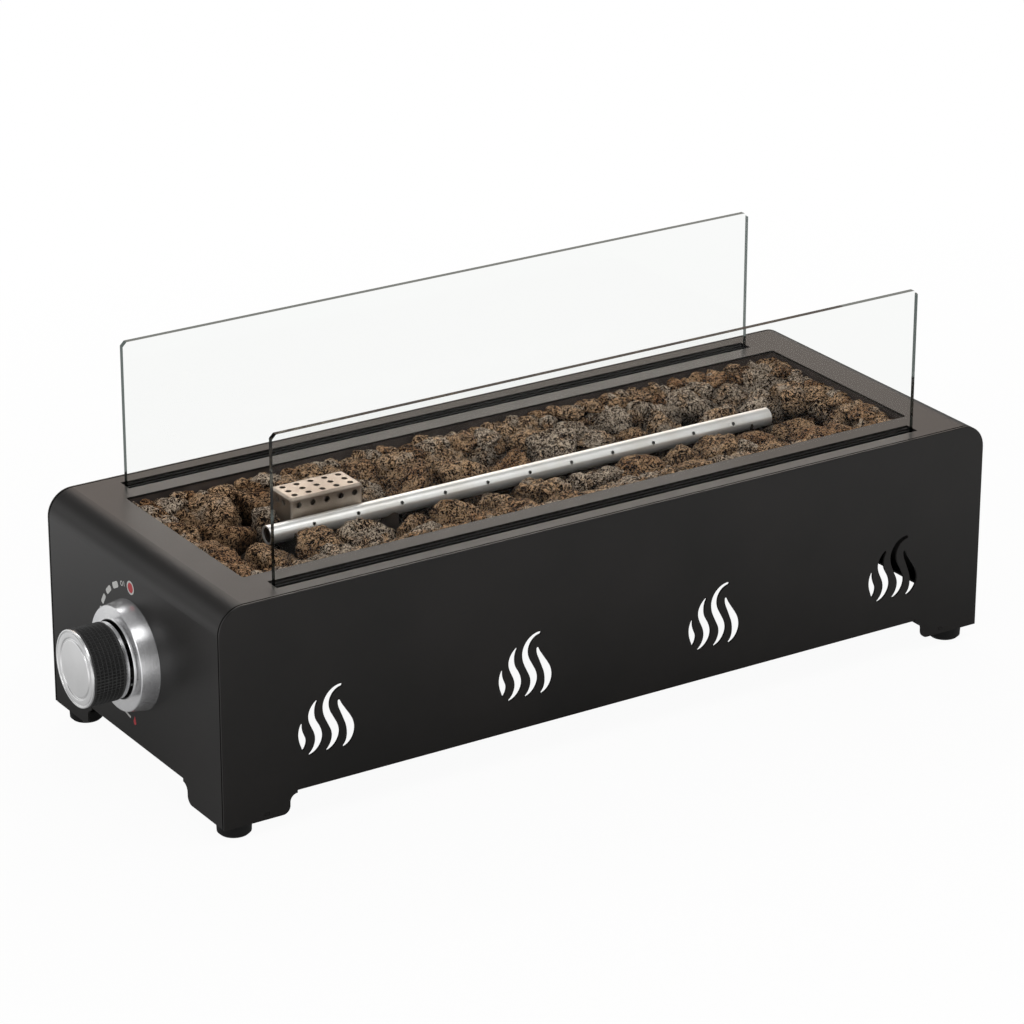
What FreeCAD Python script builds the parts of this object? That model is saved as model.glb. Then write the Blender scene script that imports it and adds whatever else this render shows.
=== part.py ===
import FreeCAD, Part
import math
import os
import random

# Tabletop gas fire pit. Millimetres, +Z up. X runs along the body, the knob is at -X and the
# front is at -Y. The origin is on the table under the middle of the body.

# Body sheets
body_length = 600.0
body_width = 233.0
body_height = 151.0  # from the leg's lower edge to the top face
sheet = 1.5
bend_radius = 18.0  # outside radius of the wrapper's two long bends
seam_gap = 0.5  # between a panel's rim and the wrapper round it
panel_reveal = 1.2  # open seam between a panel's plate and the wrapper's edge
panel_edge = 0.4
belly_inner_bend = 0.5  # inside radius where a lower edge turns in
panel_flange = 8.0
leg_width = 42.5
leg_straight = 2.0  # upright stretch between the two arcs of a leg's S-curve
belly_rise = 14.0  # raised lower edge between the legs
belly_flange = 12.5
belly_jog = 1.0  # step where the turned-in edge starts
foot_height = 10.5  # part of a foot that shows under its leg

# Fire opening and glass
opening_length = 523.0
opening_width = 156.0
opening_corner = 2.0
glass_length = 501.0
glass_height = 130.0
glass_thickness = 4.0
glass_stand = 100.5  # height above the top face
glass_corner = 3.0
glass_offset = 98.0  # from the middle of the body to the middle of a glass
slot_width = 12.5
slot_end_gap = 1.0

# Channel and liner under each slot
channel_wall = 1.2
channel_lip = 4.0
channel_end_gap = 5.0
liner_wall = 1.9
liner_floor = 2.0
liner_drop = 1.0  # its top under the sheet
glass_clearance = 0.1

# Vents: groups of wavy strokes
vent_groups = 4
vent_pitch = 150.0
vent_middle = 59.0  # above the leg's lower edge
# Each stroke from its low tip up: across and up from the group's centre, and the width there
short_stroke = (
    (-17.0, -16.4, 2.0),
    (-16.8, -13.9, 4.1),
    (-17.1, -10.9, 5.2),
    (-18.1, -7.5, 4.5),
    (-18.5, -4.4, 3.5),
    (-17.9, 0.2, 1.8),
)
swung_stroke = (
    (-12.0, -21.3, 1.9),
    (-7.2, -17.0, 4.5),
    (-5.3, -11.4, 5.8),
    (-7.0, -4.4, 5.5),
    (-9.5, 0.6, 5.2),
    (-10.3, 5.6, 5.1),
    (-9.0, 10.6, 3.5),
    (-6.9, 13.8, 1.9),
)
hooked_stroke = (
    (0.9, -21.3, 1.9),
    (5.4, -16.7, 4.6),
    (7.0, -10.7, 5.9),
    (4.6, -3.4, 5.8),
    (1.0, 4.1, 5.4),
    (0.4, 10.7, 5.0),
    (3.6, 17.2, 3.9),
    (7.1, 19.9, 3.1),
    (11.2, 21.1, 2.3),
)
leaning_stroke = (
    (13.2, -21.6, 2.2),
    (16.0, -18.9, 4.0),
    (18.2, -11.3, 6.2),
    (17.3, -6.2, 6.0),
    (14.8, -0.9, 5.0),
    (12.3, 3.8, 3.9),
    (10.4, 7.9, 3.0),
    (9.8, 10.3, 2.1),
)

# Feet and the plates that they screw to
foot_inset = 15.3
foot_radius = 11.8
foot_edge = 1.5
foot_taper = 0.6
plate_rise = 3.1  # underside of a foot plate above the leg's lower edge
plate_margin = 4.5  # plate shorter than its leg
tab_width = 3.0
tab_inset = 31.0
tab_clearance = 0.25
foot_screw_radius = 2.0
foot_head_radius = 4.0
foot_head_height = 2.4
foot_recess_radius = 5.0
foot_recess_depth = 4.5
nut_flats = 7.0
nut_height = 3.2
bolt_clearance = 0.1

# Burner tray and what stands in it
tray_wall = 1.2
tray_depth = 50.0  # floor below the top face
tray_lip = 8.0
tray_setback = 1.0  # tray wall outside the opening's edge
tray_corner = 5.0
tube_radius = 6.35
tube_wall = 1.0
tube_length = 400.0
tube_drop = 12.6  # tube axis below the top face
port_count = 11
port_margin = 32.5  # from the tube's end to the first port
port_radius = 1.3
port_angle = 62.0  # from straight up
cap_recess = 1.0
cap_thickness = 1.5
bracket_inset = 18.0  # from the tube's end
bracket_width = 26.0
bracket_base = 12.0
bracket_sheet = 1.2
fit_gap = 0.05  # radial gap of a close fit

# Perforated guard over igniter and flame sensor
guard_x = -150.3
guard_gap = 1.15  # between guard and tube
guard_length = 54.5
guard_width = 27.0
guard_rise = 5.0  # above the top face
guard_wall = 1.0
guard_hole = 2.1
guard_column_pitch = 10.6
guard_row_pitch = 7.9
guard_columns = 5
guard_rows = 3
guard_wall_holes = 5.5  # below the top

# Rock bed
rock_gap = 0.6
rock_columns = 15
rock_rows = 2  # on each side of the tube
rock_lane = 10.6  # half width of the low lane under the tube
rock_low = 8.0  # rock tops below the top face, most and least
rock_high = 2.0
rock_seed = 7

# Gas train
knob_height = 77.7  # knob axis above the leg's lower edge
stem_radius = 4.0
stem_flat = 3.0  # from the axis to the flat
stem_tip_gap = 0.5  # in the knob's hub
push_travel = 4.0
bonnet_thickness = 3.0
bonnet_radius = 13.0
ear_radius = 5.5
ear_offset = 20.0
valve_screw_radius = 2.0
valve_head_radius = 3.8
valve_head_height = 2.4
body_radius = 14.0
bore_wall = 2.0  # of the body round the plug's wide end
body_end = 45.0  # behind the bonnet's front
chamber_radius = 8.0
chamber_depth = 11.0
chamber_shoulder = 4.0  # wide part of the body past the chamber
plug_large = 9.0
plug_small = 7.0
plug_length = 24.0
plug_play = 0.5  # behind the plug
tang_thickness = 4.0
tang_gap = 0.1
tang_width = 9.0
tang_reach = 8.0  # into the plug when the knob is out
collar_radius = 7.0
collar_thickness = 2.0
collar_gap = 0.2  # behind the bonnet
spring_radius = 6.0
spring_wire = 1.0
spring_turns = 3
magnet_drop = 19.0
magnet_radius = 7.5
piezo_radius = 6.5
piezo_length = 38.0
piezo_plunger = 6.0
piezo_stub = 5.0
piezo_gap = 0.3  # beside the valve body
outlet_radius = 6.0
outlet_length = 8.0
inlet_at = 30.0  # behind the bonnet's front
inlet_reach = 24.0
pipe_radius = 3.0
pipe_wall = 0.8
inlet_pipe_radius = 4.0
pipe_gap = 0.2  # between a pipe's end and the valve
gas_nut_flats = 14.0
gas_nut_length = 11.0
gas_nut_overlap = 4.0  # on the valve's outlet
inlet_nut_overlap = 5.0  # on the valve's inlet

# Mixer under the tray
mixer_start = -172.0
mixer_radius = 9.0
mixer_wall = 1.2
mixer_length = 36.0
mixer_cone = 12.0
riser_radius = 6.0
riser_straight = 5.1  # under the tray, above the elbow
orifice_flats = 12.0
orifice_body = 12.0
orifice_nose = 4.0  # its radius
orifice_reach = 6.0  # nose inside the mixer
orifice_bore = 1.2
shutter_wall = 1.0
shutter_length = 24.0
air_window_start = 8.0  # behind the mixer's front
air_window = 12.0
air_window_width = 7.0

# Gas inlet through the rear panel
inlet_thread_radius = 7.9
inlet_thread_length = 12.0
inlet_flare_length = 3.0
inlet_hex_flats = 19.0
inlet_hex_height = 5.0
inlet_barrel_radius = 6.0
inlet_barrel = 18.0
inlet_bore = 2.5
inlet_nut_height = 4.5

# Knob and bezel
bezel_gap = 0.6  # round the knob's ring
bezel_rim = 9.1  # width of its flat front
bezel_flare = 1.9  # wider at the body
bezel_depth = 12.5
bezel_wall = 1.5
bezel_bore = 8.5
bezel_edge = 0.5
bezel_lip = 1.0  # width of the low bead round the knob
bezel_lip_reach = 1.0
knob_radius = 26.0
knob_back = 15.1  # knob's back edge out from the left face
ring_depth = 3.5
ring_inset = 0.6  # smaller than the grip, so that it can enter the bezel
ring_edge = 0.6
grip_depth = 22.1
grip_wall = 2.6
grip_front = 3.0
hub_radius = 8.0
hub_ribs = 6
rib_thickness = 1.6
cap_depth = 1.6
cap_groove_radius = 20.0
cap_groove = 0.5
cap_edge = 0.6

# Igniter, flame sensor and their leads
sensor_x = -161.0
sensor_radius = 2.5
sensor_collar = 4.5
sensor_tail = 6.0  # under the tray
electrode_x = -136.0
electrode_radius = 3.5
electrode_collar = 5.0
electrode_tail = 8.0  # under the tray
electrode_wire = 1.0
lead_radius = 2.0
sensor_lead_radius = 1.5

# Heat shield
shield_sheet = 0.8
shield_gap = 6.0
shield_start = -258.0
shield_end = -190.0
shield_half_width = 40.0

# Sizes, levels and places that follow
belly_bend = sheet + belly_inner_bend
leg_curve = (belly_rise - belly_jog - leg_straight) / 2
channel_inside = glass_thickness + 2 * (liner_wall + glass_clearance)
plate_size = leg_width - plate_margin
port_pitch = (tube_length - 2 * port_margin) / (port_count - 1)
bracket_at = tube_length / 2 - bracket_inset
guard_y = tube_radius + guard_gap + guard_width / 2
body_neck = plug_large + bore_wall
ring_radius = knob_radius - ring_inset
bezel_inner_radius = ring_radius + bezel_gap
bezel_rim_radius = bezel_inner_radius + bezel_rim
bezel_base_radius = bezel_rim_radius + bezel_flare
half_x = body_length / 2
half_y = body_width / 2
wrap_y = half_y - sheet - panel_reveal
leg_z = foot_height
top_z = leg_z + body_height
under_top = top_z - sheet
belly_z = leg_z + belly_rise
knob_z = leg_z + knob_height
tube_z = top_z - tube_drop
tray_floor = top_z - tray_depth
tray_x = opening_length / 2 + tray_setback
tray_y = opening_width / 2 + tray_setback
slot_length = glass_length + 2 * slot_end_gap
glass_foot = top_z + glass_stand - glass_height
channel_floor = glass_foot - liner_floor - channel_wall
leg_inner_x = half_x - leg_width
leg_inner_y = half_y - leg_width
plate_z = leg_z + plate_rise
valve_x = -half_x + sheet  # valve side of the left end's sheet
inlet_x = valve_x + inlet_at
orifice_x = mixer_start - orifice_body
riser_bend = tray_floor - tray_wall - riser_straight - knob_z
riser_x = mixer_start + mixer_length + mixer_cone + riser_bend
plug_x = valve_x + bonnet_thickness + chamber_depth
piezo_x = plug_x + chamber_shoulder + piezo_gap
piezo_y = -body_neck - piezo_radius - piezo_gap

origin = FreeCAD.Vector(0, 0, 0)
along_x = FreeCAD.Vector(1, 0, 0)
along_y = FreeCAD.Vector(0, 1, 0)
along_z = FreeCAD.Vector(0, 0, 1)
overcut = 1.0


def point(x, y, z):
    return FreeCAD.Vector(x, y, z)


def on_xz(u, v):
    return point(u, 0, v)


def on_yz(u, v):
    return point(0, u, v)


def on_xy(u, v):
    return point(u, v, 0)


def block(x0, x1, y0, y1, z0, z1):
    return Part.makeBox(x1 - x0, y1 - y0, z1 - z0, point(x0, y0, z0))


def rod(radius, start, direction, length):
    return Part.makeCylinder(radius, length, start, direction)


def tube(radius, inner_radius, start, direction, length):
    return rod(radius, start, direction, length).cut(rod(inner_radius, start, direction, length))


def rounded_face(points, place):
    """Face of a closed outline whose points are (u, v) or (u, v, corner radius)."""
    corners = []
    count = len(points)
    for i in range(count):
        here = place(points[i][0], points[i][1])
        before = place(points[i - 1][0], points[i - 1][1])
        after = place(points[(i + 1) % count][0], points[(i + 1) % count][1])
        radius = points[i][2] if len(points[i]) > 2 else 0.0
        if radius == 0.0:
            corners.append((here, None, here))
            continue
        back = (before - here).normalize()
        ahead = (after - here).normalize()
        half_angle = back.getAngle(ahead) / 2
        inward = (back + ahead).normalize()
        reach = radius / math.tan(half_angle)
        middle = here + inward * (radius / math.sin(half_angle) - radius)
        corners.append((here + back * reach, middle, here + ahead * reach))
    edges = []
    for i in range(count):
        first, middle, last = corners[i]
        if middle is not None:
            edges.append(Part.Arc(first, middle, last).toShape())
        following = corners[(i + 1) % count][0]
        if (following - last).Length > 1e-6:
            edges.append(Part.LineSegment(last, following).toShape())
    return Part.Face(Part.Wire(edges))


def hexagon(flats, centre, direction, height):
    """Hexagonal prism with its two flat ends square to the direction."""
    corner = flats / math.sqrt(3)
    ring = [on_xy(corner * math.cos(math.radians(a)), corner * math.sin(math.radians(a))) for a in range(30, 390, 60)]
    prism = Part.Face(Part.makePolygon(ring + ring[:1])).extrude(along_z * height)
    prism.Placement = FreeCAD.Placement(centre, FreeCAD.Rotation(along_z, direction))
    return prism


def turned(profile, centre, direction):
    """Solid turned from (distance along the axis, radius) points round an axis."""
    face = Part.Face(Part.makePolygon([on_xz(r, d) for d, r in profile + profile[:1]]))
    solid = face.revolve(origin, along_z, 360)
    solid.Placement = FreeCAD.Placement(centre, FreeCAD.Rotation(along_z, direction))
    return solid


def half_turn(shape):
    """The same piece turned to the opposite side of the body."""
    copy = shape.copy()
    copy.rotate(origin, along_z, 180)
    return copy


def edges_on(shape, axis, value):
    """Edges that lie wholly in the plane where the named coordinate has this value."""
    found = []
    for edge in shape.Edges:
        low = getattr(edge.BoundBox, axis + "Min")
        high = getattr(edge.BoundBox, axis + "Max")
        if abs(low - value) < 1e-4 and abs(high - value) < 1e-4:
            found.append(edge)
    return found


# Sheet metal


def belly_cut(leg_inner, place, thickness_direction):
    """Space under a panel between its legs, with the S-curves at both ends."""
    step_z = belly_z - belly_jog
    side = []
    for end in (-1, 1):
        leg = [
            (end * (leg_inner + leg_curve * 2), leg_z - overcut),
            (end * (leg_inner + leg_curve * 2), leg_z),
            (end * (leg_inner - leg_curve), leg_z, leg_curve),
            (end * (leg_inner - leg_curve), step_z, leg_curve),
            (end * (leg_inner - leg_curve * 2), step_z),
            (end * (leg_inner - leg_curve * 2), belly_z + belly_bend),
        ]
        side += leg if end < 0 else leg[::-1]
    return rounded_face(side, place).extrude(thickness_direction)


def belly_strip(half_length, reach_direction):
    """Turned-in lower edge in the YZ plane, its bend's outside at y = 0, running along X."""
    profile = [
        (0, belly_z, belly_bend),
        (belly_flange, belly_z),
        (belly_flange, belly_z + sheet),
        (sheet, belly_z + sheet, belly_inner_bend),
        (sheet, belly_z + belly_bend),
        (0, belly_z + belly_bend),
    ]
    strip = rounded_face(profile, on_yz).extrude(along_x * (2 * half_length))
    strip.translate(point(-half_length, 0, 0))
    turn = math.degrees(math.atan2(reach_direction.y, reach_direction.x)) - 90
    strip.rotate(origin, along_z, turn)
    return strip


def body_section(gap, low_z):
    """Outline of the body seen from the front, drawn in by gap."""
    radius = bend_radius - gap
    x = half_x - gap
    z = top_z - gap
    return rounded_face([(-x, low_z), (-x, z, radius), (x, z, radius), (x, low_z)], on_xz)


def housing_wrap():
    outer = body_section(0, leg_z).extrude(along_y * (2 * wrap_y))
    inner = body_section(sheet, leg_z - overcut).extrude(along_y * (2 * half_y))
    outer.translate(along_y * -wrap_y)
    inner.translate(along_y * -half_y)
    wrap = outer.cut(inner)
    reach = half_x + overcut
    belly = belly_cut(leg_inner_y, on_yz, along_x * (2 * reach))
    belly.translate(along_x * -reach)
    wrap = wrap.cut(belly)
    for end in (-1, 1):
        strip = belly_strip(leg_inner_y - 2 * leg_curve - seam_gap, along_x * -end)
        strip.translate(along_x * (end * half_x))
        wrap = wrap.fuse(strip)
    wrap = wrap.cut(fire_opening())
    for side in (-1, 1):
        wrap = wrap.cut(glass_slot(side))
    wrap = wrap.cut(rod(stem_radius + 1.5, point(-half_x - overcut, 0, knob_z), along_x, sheet + 2 * overcut))
    wrap = wrap.cut(valve_screw_holes(-half_x - overcut, sheet + 2 * overcut))
    return wrap.removeSplitter()


def fire_opening():
    x = opening_length / 2
    y = opening_width / 2
    r = opening_corner
    face = rounded_face([(-x, -y, r), (x, -y, r), (x, y, r), (-x, y, r)], on_xy)
    face.translate(along_z * (under_top - overcut))
    return face.extrude(along_z * (sheet + 2 * overcut))


def glass_slot(side):
    y = side * glass_offset
    w = slot_width / 2
    return block(-slot_length / 2, slot_length / 2, y - w, y + w, under_top - overcut, top_z + overcut)


def valve_screw_holes(start_x, length):
    holes = []
    for side in (-1, 1):
        start = point(start_x, 0, knob_z + side * ear_offset)
        holes.append(rod(valve_screw_radius + bolt_clearance, start, along_x, length))
    return Part.makeCompound(holes)


def blank_panel():
    """Front panel: a plate over the wrapper's edge, a rim inside it, legs and a turned-in lower edge."""
    panel = body_section(0, leg_z).extrude(along_y * sheet)
    panel = panel.makeChamfer(panel_edge, [e for e in edges_on(panel, "Y", 0) if e.BoundBox.ZMax > leg_z + overcut])
    gap = sheet + seam_gap
    rim = body_section(gap, leg_z).extrude(along_y * panel_flange)
    rim = rim.cut(body_section(gap + sheet, leg_z - overcut).extrude(along_y * (panel_flange + overcut)))
    panel = panel.fuse(rim)
    panel.translate(along_y * -half_y)
    belly = belly_cut(leg_inner_x, on_xz, along_y * (panel_flange + 2 * overcut))
    belly.translate(along_y * (-half_y - overcut))
    panel = panel.cut(belly)
    strip = belly_strip(leg_inner_x - 2 * leg_curve - seam_gap, along_y)
    strip.translate(along_y * -half_y)
    panel = panel.fuse(strip)
    for end in (-1, 1):
        panel = panel.cut(plate_tab(end, tab_clearance))
    return panel


def wavy_stroke(stations):
    """Face of an upright stroke with round tips, from (across, up, width) stations along its middle."""
    middle = Part.BSplineCurve()
    middle.interpolate([on_xz(across, up) for across, up, width in stations])
    sides = ([], [])
    tips = []
    for i, (across, up, width) in enumerate(stations):
        here = on_xz(across, up)
        way = middle.tangent(middle.parameter(here))[0]
        aside = way.cross(along_y) * (width / 2)
        sides[0].append(here - aside)
        sides[1].append(here + aside)
        if i in (0, len(stations) - 1):
            tips.append(here + way * (width / 2 if i else -width / 2))
    left = Part.BSplineCurve()
    left.interpolate(sides[0])
    right = Part.BSplineCurve()
    right.interpolate(sides[1])
    top = Part.Arc(sides[0][-1], tips[1], sides[1][-1])
    bottom = Part.Arc(sides[1][0], tips[0], sides[0][0])
    return Part.Face(Part.Wire([curve.toShape() for curve in (left, top, right, bottom)]))


def vents():
    """Cutters for all the strokes of one long panel, through its sheet at the front."""
    cutters = []
    for group in range(vent_groups):
        group_x = (group - (vent_groups - 1) / 2) * vent_pitch
        for stroke in (short_stroke, swung_stroke, hooked_stroke, leaning_stroke):
            face = wavy_stroke(stroke)
            face.translate(point(group_x, -half_y - overcut, leg_z + vent_middle))
            cutters.append(face.extrude(along_y * (sheet + 2 * overcut)))
    return Part.makeCompound(cutters)


def front_panel():
    return blank_panel().cut(vents()).removeSplitter()


def rear_panel():
    panel = half_turn(front_panel())
    start = point(inlet_x, half_y - sheet - overcut, knob_z)
    return panel.cut(rod(inlet_barrel_radius + bolt_clearance, start, along_y, sheet + 2 * overcut))


# Feet


def plate_tab(end, gap):
    """Tab of a front foot plate, or with a gap the slot that it fits."""
    x = end * (half_x - tab_inset)
    w = tab_width / 2 + gap
    return block(x - w, x + w, -half_y - gap, -half_y + sheet + gap, plate_z - gap, plate_z + sheet + gap)


def corner_plate():
    """Plate in the front-left leg, welded to both sheets, with its tab through the panel."""
    inner_x = -half_x + sheet
    flange_x = inner_x + seam_gap + sheet
    inner_y = -half_y + sheet
    flange_y = -half_y + panel_flange
    far_x = inner_x + plate_size
    far_y = inner_y + plate_size
    plate = block(flange_x, far_x, inner_y, far_y, plate_z, plate_z + sheet)
    plate = plate.fuse(block(inner_x, far_x, flange_y + seam_gap, far_y, plate_z, plate_z + sheet))
    plate = plate.fuse(plate_tab(-1, 0))
    hole = rod(foot_screw_radius + bolt_clearance, foot_place(-1, -1, plate_z), along_z, sheet)
    return plate.cut(hole).removeSplitter()


def foot_place(end, side, z):
    return point(end * (half_x - foot_inset), side * (half_y - foot_inset), z)


def rubber_foot():
    """Turned foot, chamfered at the floor, recessed for its screw."""
    low_radius = foot_radius - foot_taper
    profile = [(0, 0), (0, low_radius - foot_edge), (foot_edge, low_radius), (plate_z, foot_radius), (plate_z, 0)]
    foot = turned(profile, origin, along_z)
    foot = foot.cut(rod(foot_recess_radius, origin, along_z, foot_recess_depth))
    return foot.cut(rod(foot_screw_radius + bolt_clearance, origin, along_z, plate_z))


def foot_screw():
    head_z = foot_recess_depth - foot_head_height
    screw = turned(
        [
            (head_z, 0),
            (head_z, foot_head_radius * 0.7),
            (head_z + foot_head_height * 0.6, foot_head_radius),
            (foot_recess_depth, foot_head_radius),
            (foot_recess_depth, foot_screw_radius),
            (plate_z + sheet + nut_height + 1.5, foot_screw_radius),
            (plate_z + sheet + nut_height + 1.5, 0),
        ],
        origin,
        along_z,
    )
    slot = block(-foot_head_radius, foot_head_radius, -0.5, 0.5, head_z - overcut, head_z + 1.0)
    return screw.cut(slot)


def foot_nut():
    nut = hexagon(nut_flats, point(0, 0, plate_z + sheet), along_z, nut_height)
    return nut.cut(rod(foot_screw_radius + fit_gap, point(0, 0, plate_z), along_z, sheet + 2 * nut_height))


def at_each_foot(shape):
    copies = []
    for end in (-1, 1):
        for side in (-1, 1):
            copy = shape.copy()
            copy.translate(foot_place(end, side, 0))
            copies.append(copy)
    return Part.makeCompound(copies)


# Glass


def glass_pane(side):
    x = glass_length / 2
    top = glass_foot + glass_height
    c = glass_corner
    outline = [(-x, glass_foot), (-x, top - c), (-x + c, top), (x - c, top), (x, top - c), (x, glass_foot)]
    pane = rounded_face(outline, on_xz).extrude(along_y * glass_thickness)
    pane.translate(along_y * (side * glass_offset - glass_thickness / 2))
    return pane


def glass_channel(side):
    """U channel with spot-welding lips, hung under its slot."""
    wall = channel_wall
    w = channel_inside / 2
    x = slot_length / 2 + channel_end_gap
    profile = [
        (-w - wall, channel_floor),
        (w + wall, channel_floor),
        (w + wall, under_top - wall),
        (w + wall + channel_lip, under_top - wall),
        (w + wall + channel_lip, under_top),
        (w, under_top),
        (w, channel_floor + wall),
        (-w, channel_floor + wall),
        (-w, under_top),
        (-w - wall - channel_lip, under_top),
        (-w - wall - channel_lip, under_top - wall),
        (-w - wall, under_top - wall),
    ]
    channel = rounded_face(profile, on_yz).extrude(along_x * (2 * x))
    channel.translate(point(-x, side * glass_offset, 0))
    return channel


def glass_liner(side):
    """Silicone strip that lines the channel and holds the glass upright."""
    w = channel_inside / 2
    gap = glass_thickness / 2 + glass_clearance
    y = side * glass_offset
    floor = channel_floor + channel_wall
    liner = block(-slot_length / 2, slot_length / 2, y - w, y + w, floor, under_top - liner_drop)
    return liner.cut(block(-slot_length, slot_length, y - gap, y + gap, floor + liner_floor, top_z))


# Burner tray and what stands in it


def burner_tray():
    """Pan with a bent lip that is welded under the top, and a pierced floor."""
    wall = tray_wall
    outer = tray_block(wall, tray_floor - wall, under_top, tray_corner + wall)
    inner = tray_block(0, tray_floor, under_top + overcut, tray_corner)
    lip = tray_block(wall + tray_lip, under_top - wall, under_top, tray_corner + wall + tray_lip)
    tray = outer.fuse(lip).cut(inner)
    for cutter in tray_holes():
        tray = tray.cut(cutter)
    return tray.removeSplitter()


def tray_block(grow, low, high, corner):
    x = tray_x + grow
    y = tray_y + grow
    face = rounded_face([(-x, -y, corner), (x, -y, corner), (x, y, corner), (-x, y, corner)], on_xy)
    face.translate(along_z * low)
    return face.extrude(along_z * (high - low))


def tray_holes():
    """Holes in the tray floor for riser, sensor and electrode, and slots that let air up and water out."""
    low = tray_floor - tray_wall - overcut
    height = tray_wall + 2 * overcut
    holes = [rod(riser_radius + 0.3, point(riser_x, 0, low), along_z, height)]
    holes.append(rod(sensor_radius + bolt_clearance, point(sensor_x, guard_y, low), along_z, height))
    holes.append(rod(electrode_radius + bolt_clearance, point(electrode_x, guard_y, low), along_z, height))
    slot_half = 15.0
    for side in (-1, 1):
        for column in range(5):
            x = (column - 2) * tray_x / 2.6
            y = side * tray_y * 0.62
            holes.append(block(x - slot_half, x + slot_half, y - 2, y + 2, low, low + height))
    return holes


def burner_tube():
    start = point(-tube_length / 2, 0, tube_z)
    pipe = tube(tube_radius, tube_radius - tube_wall, start, along_x, tube_length)
    for i in range(port_count):
        x = (i - (port_count - 1) / 2) * port_pitch
        for side in (-1, 1):
            lean = math.radians(port_angle) * side
            up = point(0, math.sin(lean), math.cos(lean))
            pipe = pipe.cut(rod(port_radius, point(x, 0, tube_z), up, tube_radius + overcut))
    down = along_z * -1
    return pipe.cut(rod(riser_radius - mixer_wall, point(riser_x, 0, tube_z), down, tube_radius + overcut))


def burner_cap(end):
    """Disc pressed into one end of the tube, a little below its rim."""
    radius = tube_radius - tube_wall - fit_gap
    x = end * (tube_length / 2 - cap_recess)
    cap = rod(radius, point(x, 0, tube_z), along_x * -end, cap_thickness)
    dimple = Part.makeSphere(radius * 1.4, point(x + end * radius * 1.3, 0, tube_z))
    return cap.cut(dimple)


def burner_bracket(end):
    """Bent strip on the tray floor whose notch carries the tube, its foot pointing outwards."""
    w = bracket_width / 2
    s = bracket_sheet
    profile = [
        (0, tray_floor),
        (bracket_base, tray_floor),
        (bracket_base, tray_floor + s),
        (s, tray_floor + s, 1.0),
        (s, tube_z),
        (0, tube_z),
    ]
    bracket = rounded_face(profile, on_xz).extrude(along_y * (2 * w))
    bracket.translate(point(0, -w, 0))
    notch = rod(tube_radius + fit_gap, point(-overcut, 0, tube_z), along_x, s + 2 * overcut)
    bracket = bracket.cut(notch)
    corner = 6.0
    for side in (-1, 1):
        bracket = bracket.cut(wedge_cut(side * w, tube_z, -side * corner, -corner, s))
    bracket.translate(along_x * bracket_at)
    return half_turn(bracket) if end < 0 else bracket


def wedge_cut(y, z, dy, dz, thickness):
    """Triangular prism that takes a corner off an upright sheet."""
    face = Part.Face(Part.makePolygon([point(0, y, z), point(0, y + dy, z), point(0, y, z + dz), point(0, y, z)]))
    face.translate(along_x * -overcut)
    return face.extrude(along_x * (thickness + 2 * overcut))


def guard_box():
    """Open-bottomed box with holes in its top and in the upper part of its walls."""
    x0 = guard_x - guard_length / 2
    x1 = guard_x + guard_length / 2
    y0 = guard_y - guard_width / 2
    y1 = guard_y + guard_width / 2
    z1 = top_z + guard_rise
    t = guard_wall
    box = block(x0, x1, y0, y1, tray_floor, z1)
    upright = [e for e in box.Edges if abs(e.BoundBox.ZMax - e.BoundBox.ZMin) > t]
    box = box.makeFillet(2.0, upright + edges_on(box, "Z", z1))
    box = box.cut(block(x0 + t, x1 - t, y0 + t, y1 - t, tray_floor - overcut, z1 - t))
    cutters = []
    z = z1 - guard_wall_holes
    for column in range(guard_columns):
        x = guard_x + (column - (guard_columns - 1) / 2) * guard_column_pitch
        cutters.append(rod(guard_hole, point(x, y0 - overcut, z), along_y, guard_width + 2 * overcut))
        for row in range(guard_rows):
            y = guard_y + (row - (guard_rows - 1) / 2) * guard_row_pitch
            cutters.append(rod(guard_hole, point(x, y, z1 - t - overcut), along_z, t + 2 * overcut))
    for side in (-1, 1):
        y = guard_y + side * guard_row_pitch / 2
        cutters.append(rod(guard_hole, point(x0 - overcut, y, z), along_x, guard_length + 2 * overcut))
    return box.cut(Part.makeCompound(cutters))


# Rock bed


def clip(polygon, px, py, nx, ny):
    """Part of a convex polygon on the side of the line through (px, py) that (nx, ny) points away from."""
    kept = []
    count = len(polygon)
    for i in range(count):
        a = polygon[i]
        b = polygon[(i + 1) % count]
        da = (a[0] - px) * nx + (a[1] - py) * ny
        db = (b[0] - px) * nx + (b[1] - py) * ny
        if da <= 0:
            kept.append(a)
        if da * db < 0:
            t = da / (da - db)
            kept.append((a[0] + (b[0] - a[0]) * t, a[1] + (b[1] - a[1]) * t))
    return kept


def rock_cells(x0, x1, y0, y1, columns, rows, draw):
    """Irregular cells that fill a rectangle, each drawn in by half the gap between rocks."""
    seeds = []
    for row in range(rows):
        for column in range(columns):
            u = (column + 0.5 + draw.uniform(-0.28, 0.28)) / columns
            v = (row + 0.5 + draw.uniform(-0.2, 0.2)) / rows
            seeds.append((x0 + (x1 - x0) * u, y0 + (y1 - y0) * v))
    g = rock_gap / 2
    cells = []
    for i, (sx, sy) in enumerate(seeds):
        cell = [(x0 + g, y0 + g), (x1 - g, y0 + g), (x1 - g, y1 - g), (x0 + g, y1 - g)]
        for j, (ox, oy) in enumerate(seeds):
            distance = math.hypot(ox - sx, oy - sy)
            if i == j or distance > 4 * (x1 - x0) / columns:
                continue
            nx = (ox - sx) / distance
            ny = (oy - sy) / distance
            middle = distance / 2 - g
            cell = clip(cell, sx + nx * middle, sy + ny * middle, nx, ny)
        cells.append(clear_of_corner(cell, sx, sy))
    return cells


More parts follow.
